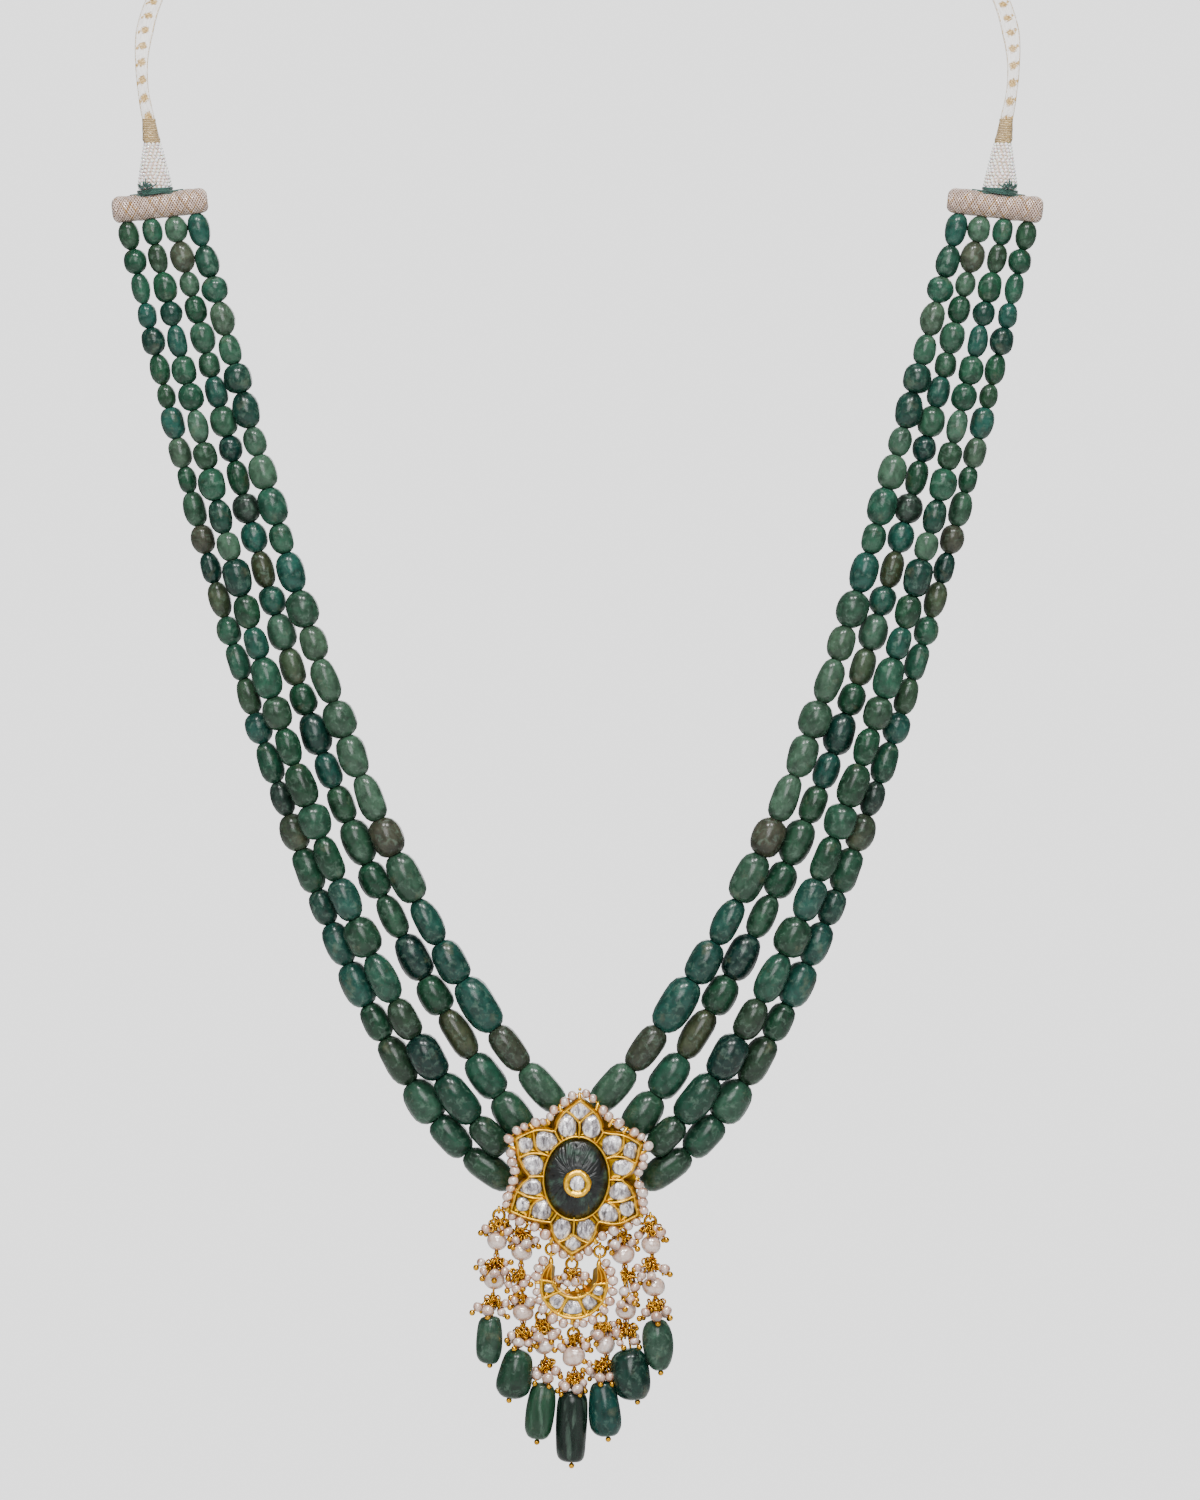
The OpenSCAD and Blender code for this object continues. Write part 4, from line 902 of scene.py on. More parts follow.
# 0 round the middle, 1 where the wire goes in. It paints the pearl brown there, as painted shade
hole = add(PEARL, "Attribute", settings=[("attribute_name", "hole")])
nacre = add(PEARL, "TexNoise", [("Vector", where, "Vector")], Scale=0.9, Detail=4.0)
wrinkle = add(PEARL, "TexNoise", [("Vector", where, "Vector")], Scale=3.0, Detail=5.0, Roughness=0.6)
mottle = ramp(PEARL, nacre, "Fac", [(0.32, "#c8ab98"), (0.5, "#e6dbd6"), (0.68, "#ffffff")])
shell = add(PEARL, "Mix", [(6, tint, "Color"), (7, mottle, "Color")], MULTIPLY, i0=0.8)
# Painted shade: brown towards where the wire goes in, darkening the edges and the gaps between pearls
brown = ramp(PEARL, hole, "Fac", [(0.45, "#ffffff"), (0.76, "#d3a987"), (0.97, "#754422")])
shell = add(PEARL, "Mix", [(6, shell, 2), (7, brown, "Color")], MULTIPLY, i0=1.0)
lustre = ramp(PEARL, wrinkle, "Fac", [(0.3, "#7c7c7c"), (0.7, "#929292")])
skin = add(PEARL, "Bump", [("Height", wrinkle, "Fac")], Strength=0.12, Distance=0.0002)
finish_with(PEARL, [("Base Color", shell, 2), ("Roughness", lustre, "Color"), ("Normal", skin, "Normal")])
ROSE = ["#d4b9ab", "#dccbc2", "#c9a691", "#dfd5d1", "#cdb1a3", "#b98f75"]
ROSE_SHARES = [5, 4, 3, 2, 3, 1]


def pearls(places, radii, holes, rng, flat=(0.86, 1.02)):
    """One mesh of many pearls: a ball stretched a little differently for each, with its own tint, and
    drilled along its own direction in holes. The hole value paints it brown towards both ends of that way,
    as painted shade."""
    places, radii = np.atleast_2d(places), np.atleast_1d(radii)
    n, m = len(places), len(SMALL_BALL.points)
    ways = bases(np.asarray(holes) + rng.uniform(-0.15, 0.15, (n, 3)), across=(0.1, 1.0, 0.2))
    sizes = radii[:, None] * np.column_stack([np.ones((n, 2)), rng.uniform(*flat, n)])
    made = stamp(SMALL_BALL, places, ways, sizes)
    made.values = {"hole": np.tile(np.abs(SMALL_BALL.points[:, 2]), n),
                   "stone": made.points + np.repeat(rng.uniform(-50, 50, (n, 3)), m, 0),
                   "body_colour": np.repeat(shaded(ROSE, ROSE_SHARES, n, rng, 0.05), m, 0)}
    return made


rng = np.random.default_rng(11)
x, y, radii = RIM_PEARLS.T
edge_places = from_face(np.column_stack([x, y, PEARL_Z + rng.uniform(-0.25, 0.25, len(x))]))
round_it = np.column_stack([-y, 0 * x, x])               # they are strung side by side
edge = pearls(edge_places, 1.18 * radii, round_it, rng)
put("edge_pearls", edge, PEARL, "necklace", ["rim_pearls"])
print("pearls round the flower", len(RIM_PEARLS))

# %% [markdown]
# ## The dangles
#
# Each dangle is a chain of wrapped wire: a ring, then pins with a loop at either end. Above each large
# pearl hangs a bunch: a knot of small wire loops, and on each of those a seed pearl on a head pin with a
# gold ball. The pins, pearls and drops stay on the CAD's places. The seed pearls that the photo shows
# are set down one by one, pushed to the front as far as the pearl behind needs, and others that
# nobody sees from the front fill the bunch's back, because a real bunch goes all the way round.

# %% Places on the dangles
# Pin path, large pearls (height, radius), drop (height, width, length, how far to the right of its pin)
DANGLES = {
    1: ([(-21.7, -10.5), (-22.4, -22.3), (-23.4, -34), (-24.3, -52.5)], [(-17.7, 2.75), (-28.6, 2.9)],
        (-45.4, 7.3, 13.4, -0.5)),
    2: ([(-15.3, -12.9), (-15.5, -25), (-14.9, -40.8), (-15.4, -43.2), (-18.9, -62.3)], [(-20.7, 2.85),
        (-37.7, 2.8)], (-54.8, 10.0, 14.0, 0.4)),
    3: ([(-9.8, -39), (-8.6, -52), (-11.1, -74.1)], [(-47.2, 2.6)], (-65.4, 8.3, 15.9, 0.0)),
    4: ([(-0.8, -43.7), (-0.6, -55), (-1.4, -80.7)], [(-50.1, 3.05)], (-69.7, 8.8, 20.0, -0.3)),
    5: ([(6.9, -39.6), (8.5, -50), (7.3, -52.2), (8.9, -73.3)], [(-46.9, 2.6)], (-64.7, 9.1, 15.6, -0.4)),
    6: ([(12.4, -15.3), (13.6, -25.4), (13.9, -40.6), (14.5, -42.8), (17.1, -62.8)], [(-21.5, 3.05),
        (-37.2, 2.75)], (-54.9, 11.0, 14.6, -0.9)),
    7: ([(20.7, -12.2), (21.2, -23.4), (22.1, -35), (23.6, -54.6)], [(-18.7, 2.65), (-30.4, 3.1)],
        (-46.8, 8.6, 14.3, -0.2)),
    0: ([(-1.3, -24.1), (-1.3, -27.5)], [], None),
}
DEPTH = {i: -2.25 if i in (3, 4, 5) else -3.5 for i in DANGLES}
RIDES = {i: "crescent" if i in (3, 4, 5) else "necklace" for i in DANGLES}
# Dangle, height of the wire loops, how many, then seed pearls: x, z, radius and the place of the ball
BUNCHES = [
    (1, -12.7, 7, [(-25.4, -14.2, 1.32, -26.8, -15.4), (-19.2, -15.1, 1.36, -18.7, -17.1),
        (-21.2, -14.1, 1.0)]),
    (1, -24.1, 8, [(-26.7, -23.6, 1.2, -28.1, -25.1), (-26.0, -26.1, 1.2, -26.4, -28.2),
        (-22.8, -26.6, 1.36, -23.0, -28.6), (-20.0, -26.1, 1.28, -19.2, -28.1), (-19.8, -23.8, 1.0)]),
    (1, -34.6, 7, [(-27.6, -36.1, 1.4, -29.2, -37.7), (-24.8, -37.1, 1.56, -24.8, -38.9),
        (-19.8, -35.1, 1.24, -18.6, -36.2), (-21.0, -37.6, 1.2, -19.3, -38.9)]),
    (2, -15.6, 7, [(-17.0, -17.4, 1.2, -17.8, -19.4), (-14.0, -18.4, 1.44, -13.4, -19.9),
        (-11.4, -17.4, 1.2, -10.6, -19.2)]),
    (2, -27.1, 8, [(-19.0, -29.9, 1.2, -19.4, -31.6), (-16.8, -31.1, 1.32, -16.8, -32.7),
        (-14.8, -29.6, 1.32, -15.0, -31.1), (-13.6, -27.9, 1.0, -12.8, -29.9)]),
    (2, -33.1, 4, [(-17.4, -34.2, 1.2, -18.4, -33.5), (-12.8, -34.6, 1.52, -12.5, -35.9)]),
    (2, -43.7, 7, [(-18.2, -44.1, 1.32, -19.5, -45.5), (-16.2, -46.1, 1.6, -17.4, -47.7),
        (-13.6, -46.3, 1.24, -13.0, -48.1)]),
    (3, -41.1, 7, [(-10.6, -44.7, 1.6, -11.2, -47.1), (-6.6, -44.1, 1.56, -7.0, -45.9),
        (-11.8, -42.7, 1.0), (-5.3, -43.1, 1.16, -4.6, -44.7)]),
    (3, -52.5, 8, [(-11.1, -55.3, 1.48, -11.7, -57.7), (-5.8, -54.1, 1.48, -4.5, -55.7),
        (-8.0, -56.1, 1.64, -7.7, -58.4)]),
    (4, -45.3, 6, [(-4.2, -47.5, 1.32, -6.1, -48.3), (-2.9, -45.8, 0.92, -3.4, -45.9),
        (2.7, -46.9, 1.4, 4.0, -48.3), (1.8, -45.4, 0.92)]),
    (4, -56.1, 8, [(-3.2, -58.5, 1.4, -4.2, -60.7), (0.3, -59.1, 1.56, 1.0, -60.7),
        (1.9, -57.5, 1.16, 2.4, -59.7), (-4.2, -57.9, 1.0, -5.3, -59.7)]),
    (5, -42.3, 7, [(6.0, -44.1, 1.68, 5.5, -46.5), (10.5, -41.0, 1.04),
        (11.0, -43.2, 1.2, 12.5, -44.1)]),
    (5, -52.7, 8, [(3.7, -54.1, 1.28, 1.8, -53.9), (3.6, -51.9, 0.92),
        (6.6, -55.9, 1.48, 6.8, -57.7), (9.4, -55.7, 1.4, 10.0, -57.7)]),
    (6, -16.4, 7, [(10.8, -18.7, 1.48, 9.9, -20.9), (15.6, -18.1, 1.28, 17.1, -19.9),
        (11.8, -17.4, 1.0, 8.6, -18.2)]),
    (6, -27.4, 8, [(13.4, -31.8, 1.56, 13.2, -34.2), (16.4, -30.6, 1.52, 16.6, -32.6),
        (14.7, -33.5, 1.2, 16.8, -34.1), (17.8, -28.2, 1.0, 17.8, -29.4)]),
    (6, -33.1, 4, [(12.4, -35.3, 1.32, 13.6, -36.6), (15.4, -34.1, 1.2)]),
    (6, -42.3, 7, [(11.2, -43.3, 1.36, 12.5, -44.1), (16.2, -45.7, 1.28, 17.6, -47.4),
        (12.2, -46.2, 1.08, 13.4, -47.7)]),
    (7, -13.9, 7, [(17.4, -16.1, 1.32, 16.8, -17.9), (23.6, -15.2, 1.56, 25.2, -17.4),
        (22.2, -14.1, 1.0)]),
    (7, -24.4, 8, [(17.1, -25.1, 1.2, 16.2, -25.6), (18.4, -27.4, 1.16, 17.8, -29.4),
        (21.0, -27.4, 1.28, 20.2, -29.4), (24.8, -25.4, 1.36, 26.2, -27.0),
        (23.2, -25.1, 0.8, 23.0, -25.1)]),
    (7, -35.6, 8, [(19.4, -37.6, 1.4, 17.5, -39.5), (22.4, -38.7, 1.6, 22.8, -40.7),
        (25.2, -37.2, 1.52, 26.2, -39.2)]),
    (0, -27.1, 8, [(-5.1, -28.3, 1.25, -5.9, -29.8), (-3.5, -27.6, 1.0),
        (-2.6, -29.5, 1.1, -2.5, -31.6), (0.0, -29.0, 1.45, 0.2, -31.4),
        (2.4, -27.4, 1.38, 3.5, -28.7)]),
]


def hang(i, x, z, y=0.0):
    """A place on dangle i, from the flower's centre, in the nape's frame. y is forward when negative."""
    x, z = np.broadcast_arrays(np.asarray(x, float), np.asarray(z, float))
    return np.stack([x - 0.3, DEPTH[i] + y + 0 * x, z], -1) + WORN


def on_pin(i, z):
    """Where dangle i's pin is at a height, and which way it points."""
    path = np.array(DANGLES[i][0])
    k = int(np.clip(np.searchsorted(-path[:, 1], -z) - 1, 0, len(path) - 2))
    a, b = path[k], path[k + 1]
    return np.interp(-z, [-a[1], -b[1]], [a[0], b[0]]), unit([b[0] - a[0], 0, b[1] - a[1]])


def clear_of(i, x, z, r):
    """How far in front of the pin a seed pearl must be to touch the large pearl or drop behind it."""
    need = 1.1
    for height, big in DANGLES[i][1]:
        px, _ = on_pin(i, height)
        need = max(need, np.sqrt(max((big + r) ** 2 - (x - px) ** 2 - (z - height) ** 2, 0)))
    if DANGLES[i][2]:
        height, w, l, aside = DANGLES[i][2]
        px = on_pin(i, height)[0] + aside
        up = (z - height) / (l / 2 + r)
        if abs(up) < 1:
            thick = w / 2 * (1 - abs(up) ** 2.4) ** 0.42
            need = max(need, np.sqrt(max((thick + r) ** 2 - (x - px) ** 2, 0)))
    return need


def coil(i, x, z, turns, radius, wire, length, rng):
    """A close wire coil round a pin, from z downwards: a helix with a little unevenness."""
    t = np.linspace(0, 1, turns * 8 + 1)
    a = 2 * np.pi * turns * t + rng.uniform(0, 6)
    wobble = radius * (1 + 0.12 * np.sin(3.1 * a))
    path = hang(i, x, z) + np.stack([wobble * np.cos(a), wobble * np.sin(a), -length * t], -1)
    return tube(path, wire, 5, across=(0, 0, 1.0))


def wrapped(start, end):
    """A pin's wrapped neck: a thin rod from start to end whose first 1.4 mm is ribbed by turns of wire."""
    start, end = np.asarray(start, float), np.asarray(end, float)
    reach = np.linalg.norm(end - start)
    s = np.append(np.linspace(0, min(1.4, 0.7 * reach), 9), reach)
    radius = np.where(np.arange(10) % 2, 0.46, 0.29) * np.append(np.ones(9), 0.9)
    d = unit(end - start)
    side = np.array([0, 1.0, 0]) if abs(d[1]) < 0.9 else np.array([1.0, 0, 0])
    return tube(start + s[:, None] * d, radius, 5, across=side)


def bunch(i, z, loops, seeds, rng):
    """Wire loops round a point of the pin, and head pins from there through each seed pearl to its ball."""
    wires, places, radii, holes = [], [], [], []
    px, _ = on_pin(i, z)
    by_moon = i in (2, 6) and abs(z + 30) < 6      # the crescent swings back past these bunches
    loops = int(loops * 3.4)
    for k in range(loops):
        way = 2 * np.pi * (k + rng.uniform(-0.3, 0.3)) / loops
        out = np.array([np.cos(way), np.sin(way) * 0.9, 0])
        out[0] *= 0.3 if by_moon and out[0] * px < 0 else 1
        middle = hang(i, px, z) + out * rng.uniform(0.6, 2.8) + [0, 0, rng.uniform(-1.5, 1.2)]
        turn = bases(rng.normal(size=(1, 3)) * [1, 1, 0.4], across=(0.2, 0.1, 1.0))[0]
        wires.append(wire_loop(middle, rng.uniform(0.6, 0.95), 0.27, turn, 10, 5, oval=rng.uniform(0.7, 1.1)))
        if k % 4 == 0:
            down = middle + [0.3 * out[0], 0.3 * out[1], -1.9]
            wires.append(wrapped(middle + [0, 0, -0.5], down))
    for seed in seeds:
        sx, sz, r = seed[0], seed[1], 1.07 * seed[2]
        front = clear_of(i, sx, sz, r)
        places.append(hang(i, sx, sz, -front))
        radii.append(r)
        start = hang(i, px + 0.35 * (sx - px), z, -0.5)
        holes.append(places[-1] - start)
        if len(seed) > 3:
            drop_by = clear_of(i, seed[3], seed[4], 0.55)
            end = hang(i, seed[3], seed[4], -max(drop_by, front * 0.8))
        else:
            end = places[-1] + unit(places[-1] - start) * (r + 0.5)
        reach = np.linalg.norm(end - places[-1])
        end = places[-1] + (end - places[-1]) * min(1, (r + 1.0) / reach)
        wires += [wrapped(start, places[-1]), rod(places[-1], end, 0.27, 5)]
        wires.append(stamp(SMALL_BALL, end, np.eye(3), 0.88))
    behind = 3 if len(seeds) > 2 else 2
    for k in range(behind):          # the back of the bunch
        way = np.radians(180 * (k + 0.5) / behind + rng.uniform(-12, 12))
        r = rng.uniform(1.1, 1.4)
        sx, sz = px + 2.9 * np.cos(way), z - rng.uniform(1.2, 2.6)
        if by_moon and np.cos(way) * px < -1:
            continue
        back = max(clear_of(i, sx, sz, r), 2.0 * np.sin(way))
        place = hang(i, sx, sz, back)
        places.append(place)
        radii.append(r)
        start = hang(i, px, z, 0.4)
        holes.append(place - start)
        end = place + unit(place - start + np.array([0, 0, -1.2])) * (r + 0.45)
        wires += [wrapped(start, place), rod(place, end, 0.22, 5), stamp(SMALL_BALL, end, np.eye(3), 0.76)]
    return wires, places, radii, holes


# %% Wires and bunches
rng = np.random.default_rng(7)
wires = {i: [] for i in DANGLES}
seed_places, seed_radii, seed_holes = [{i: [] for i in DANGLES} for _ in range(3)]
for i, z, loops, seeds in BUNCHES:
    w, places, radii, holes = bunch(i, z, loops, seeds, rng)
    wires[i] += w
    seed_places[i] += places
    seed_radii[i] += radii
    seed_holes[i] += holes
FACING = np.stack([[1.0, 0, 0], [0, 0, 1.0], [0, -1.0, 0]], -1)        # a loop that faces the viewer
SIDEWAYS = np.stack([[0, 1.0, 0], [0, 0, 1.0], [1.0, 0, 0]], -1)
for i, (path, _, _) in DANGLES.items():
    parts, (x0, z0) = wires[i], path[0]
    if i:
        parts.append(wire_loop(hang(i, x0, z0), RING_R, RING_WIRE, FACING, 28, 8))
        if i in (3, 4, 5):       # a second turn of wire in front
            parts.append(wire_loop(hang(i, x0 - 0.1, z0 - 0.2, -0.55), RING_R - 0.05, 0.27, FACING, 28, 6))
        pins = np.array(path, float)
        pins[0] -= [0, RING_R]       # the first pin starts at the ring's foot
        for a, b in zip(pins[:-1], pins[1:]):
            parts.append(rod(hang(i, *a), hang(i, *b), 0.32))
            parts.append(coil(i, a[0], a[1] + 0.1, turns=3, radius=0.52, wire=0.24, length=1.3, rng=rng))
        for x, z in path[1:-1]:      # two loops that hold each other between the pins
            parts.append(wire_loop(hang(i, x, z + 0.55), 0.68, 0.23, FACING, 12, 5, oval=1.2))
            parts.append(wire_loop(hang(i, x, z - 0.6), 0.68, 0.23, SIDEWAYS, 12, 5, oval=1.2))
            parts.append(coil(i, x, z + 1.9, turns=3, radius=0.46, wire=0.2, length=1.0, rng=rng))
        parts.append(stamp(SMALL_BALL, hang(i, *path[-1]), np.eye(3), 0.84))
    else:
        parts.append(wire_loop(hang(i, x0, z0), RING_R, RING_WIRE, FACING, 32, 8))
        parts.append(wire_loop(hang(i, x0 + 0.1, z0 - 0.15, -0.45), RING_R - 0.1, 0.26, FACING, 32, 6))
    stands = f"dangle_wire_{i}" if i else "tip_ring"
    wired = join([with_crest(w, 0.5) for w in parts])
    put(f"wires_{i}" if i else "tip_bunch_wires", wired, WIRE, RIDES[i], [stands])
    seeds = pearls(seed_places[i], seed_radii[i], seed_holes[i], rng)
    put(f"seed_pearls_{i}" if i else "tip_bunch_pearls", seeds, PEARL, RIDES[i])
print("seed pearls on dangles", sum(map(len, seed_radii.values())))

# %% Large pearls
# Width and height against the radius: each pearl's own form
FORMS = {"1a": (1.03, 1.0), "1b": (1.05, 0.95), "2a": (1.06, 0.96), "2b": (1.06, 0.96), "3a": (1.1, 0.9),
         "4a": (1.03, 0.9), "5a": (1.06, 1.04), "6a": (1.08, 0.88), "6b": (1.08, 0.92), "7a": (1.04, 1.04),
         "7b": (1.05, 0.92)}
CREAM, CREAM_SHARES = ["#dac7bc", "#d1b9ab", "#dfd1ca"], [3, 2, 2]
rng = np.random.default_rng(3)
for i, (_, big, _) in DANGLES.items():
    for letter, (z, r) in zip("ab", big):
        x, way = on_pin(i, z)
        turn = bases(np.array([way]))[0]
        wide, tall = FORMS[f"{i}{letter}"]
        p = UNIT_BALL.points
        u, v, w = p.T
        size = r * (1 + 0.035 * np.sin(2.1 * u + 3 * w + i) + 0.03 * np.cos(3 * v - 2 * u + 2 * i))
        if i == 4:               # a squarish one: |u|^2.6 + |v|^2.6 + |w|^2.6 = 1
            size = size * (np.abs(p) ** 2.6).sum(1) ** (-1 / 2.6)
        local = p * size[:, None] * [wide, 1, tall]
        # hole paints the top and the bottom of the pearl brown: painted shade
        shape = Shape(local @ turn.T + hang(i, x, z), UNIT_BALL.quads, UNIT_BALL.tris,
                      stone=local + 20.0 * i, hole=0.8 * np.abs(w))
        shape.values["body_colour"] = np.tile(shaded(CREAM, CREAM_SHARES, 1, rng, 0.03), (len(local), 1))
        put(f"large_pearl_{i}{letter}", shape, PEARL, RIDES[i], [f"pearl_{i}{letter}"])

# %% [markdown]
# ### Drops
#
# The seven drops are larger emerald tumbles, drilled from end to end. They are made as the beads are,
# with more points, and each has its own outline: the row of shares below says how wide it is from its top to
# its foot. Their colours run from grey-green to nearly black and blue-green.

# %% Drops
OUTLINES = {  # half width at nine heights from the top to the foot, against half the widest
    1: [0.35, 0.72, 0.90, 0.97, 1.0, 0.99, 0.91, 0.68, 0.36],
    2: [0.28, 0.54, 0.78, 0.91, 0.98, 1.0, 0.90, 0.60, 0.32],
    3: [0.35, 0.66, 0.84, 0.94, 1.0, 0.99, 0.91, 0.67, 0.38],
    4: [0.45, 0.84, 0.98, 1.0, 0.98, 0.95, 0.93, 0.84, 0.50],
    5: [0.35, 0.66, 0.82, 0.92, 0.99, 1.0, 0.93, 0.68, 0.40],
    6: [0.28, 0.58, 0.84, 0.97, 1.0, 0.98, 0.86, 0.58, 0.32],
    7: [0.32, 0.64, 0.87, 0.99, 1.0, 0.93, 0.77, 0.52, 0.30]}
DROP_COLOURS = {1: "#274333", 2: "#1a3827", 3: "#1e3f2b", 4: "#0d1c15",
                5: "#0a3a33", 6: "#092c23", 7: "#2b4738"}
rows, columns = 40, 48
a = around(columns)[None, :]
u, marks = (np.sin(np.linspace(-np.pi / 2, np.pi / 2, k)) for k in (rows, 9))      # -1 at the top
u = u[:, None]
end = (1 - np.abs(u * 0.995) ** 4) ** (1 / 4)            # its rounded ends
for i, outline in OUTLINES.items():
    z, w, l, aside = DANGLES[i][2]
    share = np.interp(u, marks, outline)
    r = w / 2 * np.minimum(share, 1.05 * end)
    for _ in range(2):
        r[1:-1] = (r[:-2] + 2 * r[1:-1] + r[2:]) / 4
    r = r * (1 + 0.02 * np.sin(3 * a + 2 * u + i) + 0.02 * np.sin(2 * a - 3 * u + 2 * i))
    r[[0, -1]] = 0.45
    outer = np.stack([r * np.cos(a) + aside * (1 - u ** 10), r * np.sin(a), -u * l / 2 + 0 * a], -1)
    shape = capped(outer, [0, 0, l / 2 - 0.1], [0, 0, 0.1 - l / 2], flip=True)
    local = shape.points
    shape.values = {"stone": local + 31.0 * i,
                    "body_colour": np.tile(linear(DROP_COLOURS[i]), (len(local), 1))}
    x, way = on_pin(i, z)
    shape.points = local @ bases(np.array([-way]))[0].T + hang(i, x, z)
    look = STREAKED if i in (3, 4) else EMERALD
    put(f"emerald_drop_{i}", shape, look, RIDES[i], [f"drop_{i}"])
print("drops", [counted[f"emerald_drop_{i}"] for i in range(1, 8)])

# %% [markdown]
# ## The crescent
#
# The crescent is made as the flower is, in kundan, but its rim is one thick band of foil, its horns are
# solid gold, ridged, and bars of foil part its five stones. The same height field is used, on a
# grid that runs along the crescent from horn to horn and across it from the inner edge to the outer.

# %% Crescent gold
MIDDLE = np.array([0.8, -30.1])
BACK, TOP = -1.9, 1.35
TIP = 132.0                                      # where the horns end, in degrees from the lowest point
HOLE_RISE, HOLE_R = 3.1, 6.0                     # the round gap: its middle above the crescent's, its radius


def to_gap(a):
    """How far from the crescent's middle a ray meets the gap: r = h sin a + root(h^2 sin^2 a - h^2 + R^2)."""
    b = HOLE_RISE * np.sin(a)
    return b + np.sqrt(b * b - HOLE_RISE ** 2 + HOLE_R ** 2)


rows, columns = 280, 44
along = np.linspace(-TIP, TIP, rows)[:, None]
a = np.radians(along - 90)
outer_r = 9.6 + 0.06 * np.sin(4 * a + 1) - 0.15 * smoothstep((np.abs(along) - 115) / 17)
point = smoothstep((np.abs(along) - 97) / 10)    # 1 on the horns, which taper
thick = np.interp(np.abs(along), [97, 105, 113, 122, 129, TIP], [3.7, 3.35, 2.9, 2.3, 1.6, 1.2])
inner_r = to_gap(a) * (1 - point) + (outer_r - thick) * point
share = np.linspace(0, 1, columns)[None, :]
radius = inner_r * (1 - share) + outer_r * share
face = np.stack([radius * np.cos(a), radius * np.sin(a)], -1)
wide = outer_r - inner_r
to_edge = np.minimum(share * wide, (1 - share) * wide)
bars = np.full(radius.shape, 9.0)
for where in (-97, -64, -25, 25, 64, 97):
    bars = np.minimum(bars, np.abs(np.radians(along - where)) * radius)
nearest = np.minimum(np.abs(to_edge - 0.5), bars + 0.1)
flat = face.reshape(-1, 2)
height, crest = kundan(flat, nearest.ravel(), floor=0.2, crest=TOP, width=0.55)
height, crest = height.reshape(radius.shape), crest.reshape(radius.shape)
# A horn is solid: a ridge runs up its middle between the two rims, and a small hollow parts it from the
# last bar
horn = smoothstep((np.abs(along) - 99) / 2.5) + 0 * share
to_ridge = np.abs(share - 0.5) * wide
dip = np.exp(-((np.abs(along) - 101.5) / 2.2) ** 2) * smoothstep((to_edge - 0.5) / 0.5)
nearest = np.minimum(np.abs(to_edge - 0.4), to_ridge).ravel()
solid, bright = kundan(flat, nearest, floor=0.7, crest=TOP + 0.35, width=0.3)
solid, bright = solid.reshape(radius.shape), bright.reshape(radius.shape)
height = height * (1 - horn) + (solid - 0.5 * dip) * horn
# The hollow also lowers the crest value, so its gold is painted in shade
crest = crest * (1 - horn) + np.clip(bright - 0.5 * dip, 0, 1) * horn
# The outer side and the back close the section, which is walked round as a loop at each row. The inner side
# is a hollow wall that leans in towards the back, more on the right, and it catches the gold opposite.
down = np.array([1.0, 0.72, 0.45, 0.2, 0.0])[None, :, None]          # 1 at the front, 0 at the back
lean = (1.35 + 0.4 * np.sin(np.radians(along))) * (1 - 0.25 * point)
low_r = inner_r[..., None] - lean[..., None] * (1 - down) ** 1.6
wall_in = np.concatenate([low_r * np.cos(a)[..., None], low_r * np.sin(a)[..., None],
                          BACK + (height[:, :1, None] - 0.12 - BACK) * down], -1)[:, ::-1]
front = np.concatenate([face, height[..., None]], -1)


def rim_at(share, z):
    """The outer edge at a share of its radius and at a height."""
    z = np.broadcast_to(np.reshape(z, (-1, 1, 1)), (rows, 1, 1))
    return np.concatenate([share * face[:, -1:], z], -1)


side_out = [rim_at(0.998 * 1.004, height[:, -1] - 0.04), rim_at(1.002, 0.0), rim_at(1.0, BACK + 0.06),
            rim_at(0.994, BACK)]                 # bulged a little, and bevelled at both edges
loop = np.concatenate([wall_in, front, *side_out], 1) + np.append(MIDDLE, 0)
# Crest values set painted light and shade: the inner wall is lightened to 0.6, the front keeps 0.85 of its
# crest, and the outer side has 0.5
value = np.concatenate([np.full((rows, 5), 0.6), 0.85 * crest, np.full((rows, 4), 0.5)], 1)
first, last = from_face(loop[[0, -1]].mean(1))
moon = capped(from_face(loop), first, last, crest=np.append(value, [0.5, 0.5]))
print("crescent heights", height.min().round(2), height.max().round(2))

# %% Lugs, wire and pearls of the crescent
CRESCENT_PEARLS = np.array([
    [-9.6, -22.9, 1.32], [-10.8, -25.2, 1.32], [-11.2, -27.6, 1.4], [-11.0, -31.9, 1.08],
    [-10.4, -34.3, 1.16], [-9.4, -36.7, 1.32], [-6.8, -39.5, 1.5], [-3.8, -41.1, 1.38],
    [8.9, -23.4, 1.2], [10.4, -25.8, 1.32], [11.6, -28.6, 1.38], [11.4, -32.0, 1.3],
    [10.4, -35.0, 1.32], [8.4, -37.6, 1.16], [4.8, -40.3, 1.28], [2.0, -41.1, 1.12], [0.0, -41.1, 0.88]])
RIM_R, RIM_DEPTH = 10.8, 0.3                     # the wire that the pearls are strung on
leaning = turned(CRESCENT_PEARLS[:, :2], LEAN) - MIDDLE
reach = np.hypot(*leaning.T)
leaning *= (np.clip(reach, RIM_R - 0.2, RIM_R + 0.2) / reach)[:, None]
ways = np.radians(np.linspace(148, 392, 80))
band_path = np.column_stack([MIDDLE[0] + RIM_R * np.cos(ways), MIDDLE[1] + RIM_R * np.sin(ways),
                             np.full(len(ways), RIM_DEPTH)])
moon_parts = [moon, with_crest(tube(from_face(band_path), 0.2, 5))]
